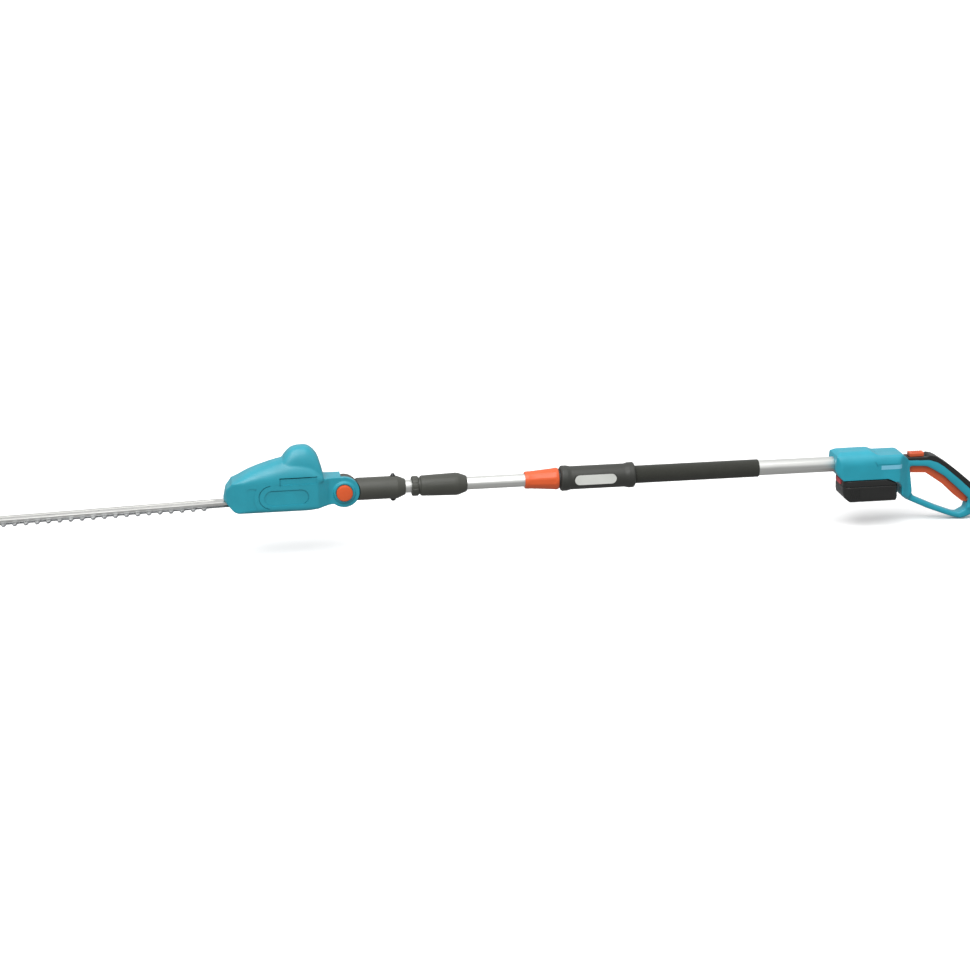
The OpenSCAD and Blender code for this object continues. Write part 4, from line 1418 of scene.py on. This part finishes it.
@dataclass
class Knife:
    """The double-sided knife: bar, two toothed blades, bolts and tip guard."""

    bar_edge: float = 0.6
    ground_edge: float = 0.55

    def build(self) -> None:
        """Build the bar, the blades and what holds them."""
        for node, name, finish, body, slot, width, segments in (
            ("guide_bar", "guide_bar_extrusion", BAR_METAL, "head", "bar_aluminium",
             self.bar_edge, 2),
            ("upper_blade", "upper_blade_ground", BLADE_METAL, "blade_upper",
             "blade_steel", self.ground_edge, 1),
            ("lower_blade", "lower_blade_ground", BLADE_METAL, "blade_lower",
             "blade_steel", self.ground_edge, 1),
            ("knife_bolts", "knife_bolts_eased", ZINC, "head", "steel", 0.4, 2),
            ("tip_guard", "tip_guard_moulding", BLACK_NYLON, "head", "black_plastic",
             1.0, 3),
        ):
            broken_edges(node, name, finish, body, slot, width, segments)
        dress_node("knife_spacers", ZINC)


@dataclass
class PoleFront:
    """What slides with the inner tube: neck, stub, union nut, sleeve and tubes."""

    neck_voxel: float = 0.9
    nut_edge: float = 0.5

    def build(self) -> None:
        """Build the neck, the coupling and the bare tubes."""
        body, grey = "front_pole", "grey_plastic"
        smooth_cast("neck", "neck_moulding", GREY_NYLON, body, self.neck_voxel, 6)
        broken_edges(
            "coupling_sleeve", "coupling_flare", GREY_NYLON, body, grey, 0.8, 3, 25.0
        )
        broken_edges(
            "coupling_nut",
            "union_nut_moulding",
            GREY_NYLON,
            "union_nut",
            grey,
            self.nut_edge,
        )
        for node in ("cross_bolt", "cross_nut"):
            broken_edges(node, node + "_eased", BLACKENED, body, "steel", 0.4)
        for node in ("inner_tube", "stub_tube"):
            broken_edges(node, node + "_drawn", TUBE_METAL, body, "pole_aluminium", 0.25)


@dataclass
class ClampAndGrip:
    """The clamp sleeve, the front grip with its badge, the foam and the outer tube."""

    flats: int = 10
    flat_depth: float = 0.55
    badge_rim: float = 1.3
    tip_r: float = 16.7
    tail_r: float = 21.6
    # Inner and outer radius of the black ring that is painted shade in the gap before the
    # grip
    gap_shade_radii: tuple[float, float] = (15.1, 19.0)

    def clamp(self) -> None:
        """Build the orange sleeve with its lengthwise flats."""
        low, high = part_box("clamp_sleeve")
        x0, x1 = low.x / MM, high.x / MM
        sleeve = taken_from("clamp_sleeve", "clamp_cone")
        start, end = x0 + 7.0, x1 - 7.0

        def radius(x: float) -> float:
            """Radius of the cone at a place along it."""
            return self.tip_r + (self.tail_r - self.tip_r) * (x - x0) / (x1 - 4.0 - x0)

        ramp = [
            (start, radius(start) + 0.3),
            (start + 3.0, radius(start + 3.0) - self.flat_depth),
            (end, radius(end) - self.flat_depth),
            (end + 1.0, radius(end) + 2.0),
            (start, radius(start) + 4.0),
        ]
        first = drawn_out("flat", ramp, Along.Y, -4.6, 4.6)
        for i in range(self.flats):
            cutter = duplicate(first, "flat_copy")
            turn = Quaternion((1, 0, 0), math.tau * (i + 0.5) / self.flats)
            cutter.rotation_mode = "QUATERNION"
            cutter.rotation_quaternion = turn
            cut(sleeve, cutter)
        remove(first)
        eased(sleeve, 0.35, 2, 20.0)
        dress(sleeve, ORANGE_ABS, "clamp", ["clamp_sleeve"], 24.0)

    def badge(self) -> None:
        """Build the blank badge with its raised rim."""
        low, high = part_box("grip_badge")
        outline = obround(
            low.x / MM + 0.2, high.x / MM - 0.2, low.z / MM + 0.2, high.z / MM - 0.2
        )
        plate = drawn_out("badge_plate", outline, Along.Y, low.y / MM, high.y / MM)
        choose(plate)
        for face in plate.data.polygons:
            face.select = face.normal.y < -0.9
        bpy.ops.object.mode_set(mode="EDIT")
        bpy.ops.mesh.inset(thickness=self.badge_rim * MM, depth=0.0)
        bpy.ops.mesh.inset(thickness=0.5 * MM, depth=-0.6 * MM)
        bpy.ops.object.mode_set(mode="OBJECT")
        dress(plate, BADGE_PLATE, "rear", ["grip_badge"])

    def build(self) -> None:
        """Build the clamp, grip, badge, foam and outer tube."""
        self.clamp()
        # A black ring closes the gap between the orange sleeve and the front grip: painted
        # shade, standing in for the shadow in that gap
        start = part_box("clamp_sleeve")[1].x / MM + 0.4
        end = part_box("front_grip")[0].x / MM + 0.5
        inner, outer = self.gap_shade_radii
        gap_shade_ring = turned(
            "painted_gap_shade",
            [(start, inner), (start, outer), (end, outer), (end, inner)],
        )
        dress(eased(gap_shade_ring, 0.4), BLACK_NYLON, "rear")
        smooth_cast(
            "front_grip", "front_grip_moulding", GRIP_NYLON, "rear",
            0.9, 7,
        )
        self.badge()
        broken_edges("foam_grip", "foam_tube", FOAM, "rear", "foam", 0.7, 3)
        broken_edges(
            "outer_tube", "outer_tube_drawn", TUBE_METAL, "rear", "pole_aluminium", 0.3
        )


@dataclass
class RearHousing:
    """The rear shells with the closed handle, its soft skin, trigger and slide."""

    front: float = 76.0
    side: float = 36.0
    voxel: float = 1.2
    passes: int = 60
    band_line: Rounded = (84.0, 133.0, 2.6, 3.6, 0.4)
    shoulder_line: Outline = (
        (74.0, 16.0),
        (77.0, 8.0),
        (83.0, -1.0),
        (84.3, -0.2),
        (78.4, 8.6),
        (75.5, 16.0),
    )

    def shells(self) -> None:
        """Build both halves, with their seams cut crisp."""
        shell = moulded_pair(
            "rear_shell", ("rear_housing_left", "rear_housing_right"), self.voxel
        )
        floor = (
            Vector((self.front + 10, -40, -34)) * MM,
            Vector((self.front + 134, 40, -20)) * MM,
        )
        bore = (
            Vector((self.front - 5, -40, -60)) * MM,
            Vector((self.front + 3, 40, 60)) * MM,
        )
        relax_part(shell, self.passes, [floor, bore])
        modify(shell, "SMOOTH", factor=0.5, iterations=3)
        groove = [(self.front + x, z) for x, z in self.shoulder_line]
        x0, x1, z0, z1, r = self.band_line
        under_band = rounded_box(self.front + x0, self.front + x1, z0, z1, r)
        for outline, depth in ((groove, 1.4), (under_band, 1.0)):
            sink(shell, outline, self.side, depth, 4.0)
        for side, node in (
            (Side.NEAR, "rear_housing_left"),
            (Side.FAR, "rear_housing_right"),
        ):
            half = half_of(shell, node.replace("housing", "moulding"), side)
            dress(half, HOUSING_TEAL, "rear", [node])
        remove(shell)

    def build(self) -> None:
        """Build the shells and everything the hand touches."""
        self.shells()
        smooth_cast(
            "handle_overmould", "handle_skin", SOFT_SKIN, "rear", 1.0, 8
        )
        for node, name, finish, body, slot, *edge in (
            ("trigger_lever", "trigger_moulding", TRIGGER_NYLON, "trigger",
             "signal_red", 1.6, 4, 30.0),
            ("safety_slide", "safety_moulding", TRIGGER_NYLON, "safety",
             "signal_red", 0.5, 3),
            ("rear_screws", "rear_screws_eased", BLACKENED, "rear", "steel", 0.3),
        ):
            broken_edges(node, name, finish, body, slot, *edge)


@dataclass
class BatteryPack:
    """The slide-in battery: case, lid and release button."""

    side: float = 37.0
    ribs: int = 6
    pitch: float = 4.4
    rib_width: float = 1.6
    rib_depth: float = 0.9

    def build(self) -> None:
        """Build the case with its ribbed flanks, the lid and the button."""
        low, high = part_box("battery_case")
        case = cast_smooth(taken_from("battery_case", "battery_shell"), 0.9, 30)
        first = low.x / MM + 9.0
        for i in range(self.ribs):
            x = first + i * self.pitch
            groove = rounded_box(
                x, x + self.rib_width, low.z / MM + 9.0, high.z / MM - 5.0, 0.75
            )
            sink(case, groove, self.side, self.rib_depth, 3.0)
        dress(case, BATTERY_BLACK, "battery", ["battery_case"])
        smooth_cast(
            "battery_lid", "battery_top", BATTERY_BLACK, "battery",
            0.9, 6,
        )
        broken_edges(
            "battery_button", "battery_release", LATCH_RED, "battery_latch",
            "signal_red", 0.5, 3,
        )


@dataclass
class Insides:
    """CAD nodes that stay as they are and get real finishes."""

    nodes: dict[str, tuple[Finish, str]] = field(
        default_factory=lambda: {
            "clamp_collet": (BLACK_NYLON, "black_plastic"),
            "tube_guide": (BLACK_NYLON, "black_plastic"),
            "coupling_socket": (BLACK_NYLON, "black_plastic"),
            "coupling_plug": (BLACK_NYLON, "black_plastic"),
            "trigger_switch": (BLACK_NYLON, "black_plastic"),
            "lock_ring": (ZINC, "steel"),
            "tilt_spring": (ZINC, "steel"),
            "trigger_spring": (ZINC, "steel"),
            "safety_spring": (ZINC, "steel"),
            "battery_button_spring": (ZINC, "steel"),
            "battery_contacts": (ZINC, "steel"),
            "trigger_pin": (ZINC, "steel"),
            "base_plate": (ZINC, "steel"),
            "crank_bearings": (ZINC, "steel"),
            "motor_pinion": (ZINC, "steel"),
            "crank_gear": (BLACKENED, "steel"),
            "gear_case": (CASTING, "cast_aluminium"),
            "motor": (MOTOR_CAN, "motor_steel"),
            "control_board": (BOARD, "board_green"),
            "switch_leads": (LEADS, "lead_red"),
            "battery_cells": (CELL_WRAP, "cell_wrap"),
        }
    )

    def build(self) -> None:
        """Dress every node that stays."""
        for node, (finish, slot) in self.nodes.items():
            dress_node(node, finish)
        self.cable()

    def cable(self) -> None:
        """Build the coiled cable from its CAD node."""
        coil = taken_from("coiled_cable", "supply_coil")
        bpy.ops.object.transform_apply(location=True, rotation=True, scale=True)
        bpy.ops.object.shade_smooth_by_angle(angle=math.radians(40))
        coil.data.materials.clear()
        coil.data.materials.append(SHEATH.material())
        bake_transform(coil)
        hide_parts("coiled_cable")
        log.info("supply_coil: opens between front_pole and rear")


@dataclass
class Studio:
    """Plain pale floor, soft lights and the camera."""

    azimuth: float = -8.0
    elevation: float = 16.0
    roll: float = 0.8
    distance: float = 4.6
    target: tuple[float, float, float] = (-0.6218, 0.0, -0.0066)
    floor_half: float = 40.0
    low_glow: float = 0.42
    high_glow: float = 1.0
    ceiling: float = 1.9
    ceiling_spread: float = 50.0
    front_watts: float = 30.0
    lens: float = 87.5
    sensor: float = 36.0

    def floor(self) -> None:
        """Lay the floor under the battery and the handle."""
        low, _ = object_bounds()
        clear_selection()
        bpy.ops.mesh.primitive_plane_add(
            size=2 * self.floor_half, location=(0.0, 0.0, low.z - 0.002)
        )
        floor = bpy.context.object
        floor.name = "studio_floor"
        bpy.ops.object.transform_apply(location=True, rotation=True, scale=True)
        paint = Finish("matt_floor_paint", "FAFAFA", 0.9)
        floor.data.materials.append(paint.material())
        floor.visible_diffuse = False
        floor.visible_glossy = False
        floor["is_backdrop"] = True

    def lamp(
        self, name: str, spot: tuple[float, float, float], size: float, watts: float
    ) -> None:
        """Hang one square soft lamp that faces the tool.

        Args:
            name: the lamp's name.
            spot: where it hangs, in metres.
            size: its edge in metres.
            watts: its power.
        """
        clear_selection()
        bpy.ops.object.light_add(type="AREA", location=spot)
        lamp = bpy.context.object
        lamp.name = name
        lamp.data.size = size
        lamp.data.energy = watts
        aim = Vector(self.target) - Vector(spot)
        lamp.rotation_mode = "QUATERNION"
        lamp.rotation_quaternion = aim.to_track_quat("-Z", "Y")

    def light(self) -> None:
        """Light the tool from a pale room, a soft ceiling and one front lamp."""
        world = bpy.data.worlds.new("white_room")
        bpy.context.scene.world = world
        world.use_nodes = True
        tree = world.node_tree
        height = add_node(
            tree,
            "ShaderNodeSeparateXYZ",
            inputs={"Vector": add_node(tree, "ShaderNodeTexCoord").outputs["Generated"]},
        ).outputs["Z"]
        glow = add_node(
            tree,
            "ShaderNodeMapRange",
            {"interpolation_type": "SMOOTHSTEP"},
            {
                "Value": height,
                "From Min": -0.15,
                "From Max": 0.7,
                "To Min": self.low_glow,
                "To Max": self.high_glow,
            },
        ).outputs["Result"]
        room = tree.nodes["Background"]
        room.inputs["Color"].default_value = (1.0, 1.0, 1.0, 1.0)
        tree.links.new(glow, room.inputs["Strength"])
        self.lamp("lamp_front", (-1.8, -2.6, 2.2), 1.6, self.front_watts)
        clear_selection()
        bpy.ops.object.light_add(type="SUN", location=(0.0, 0.0, 3.0))
        sun = bpy.context.object
        sun.name = "lamp_ceiling"
        sun.data.energy = self.ceiling
        sun.data.angle = math.radians(self.ceiling_spread)
        sun.rotation_mode = "QUATERNION"
        sun.rotation_quaternion = Vector((0.25, 0.45, -1.0)).to_track_quat("-Z", "Y")

    def camera(self) -> None:
        """Set the camera up and make it the scene's."""
        a, e = math.radians(self.azimuth), math.radians(self.elevation)
        back = Vector(
            (math.sin(a) * math.cos(e), -math.cos(a) * math.cos(e), math.sin(e))
        )
        clear_selection()
        bpy.ops.object.camera_add(location=Vector(self.target) + back * self.distance)
        camera = bpy.context.object
        camera.name = "camera"
        camera.data.lens = self.lens
        camera.data.sensor_width = self.sensor
        camera.rotation_mode = "QUATERNION"
        aim = (-back).to_track_quat("-Z", "Y")
        camera.rotation_quaternion = aim @ Quaternion(
            (0, 0, 1), -math.radians(self.roll)
        )
        bpy.context.scene.camera = camera

    def build(self) -> None:
        """Build the whole studio."""
        self.floor()
        self.light()
        self.camera()
        bpy.context.scene.view_settings.view_transform = "Standard"


def main() -> None:
    """Build every sub-assembly in order, then the studio."""
    logging.basicConfig(level=logging.INFO, format="%(name)s %(message)s")
    for part in (
        TrimmerHead(),
        Knife(),
        PoleFront(),
        ClampAndGrip(),
        RearHousing(),
        BatteryPack(),
        Insides(),
        Studio(),
    ):
        log.info("building %s", type(part).__name__)
        part.build()


if __name__ == "__main__":
    main()
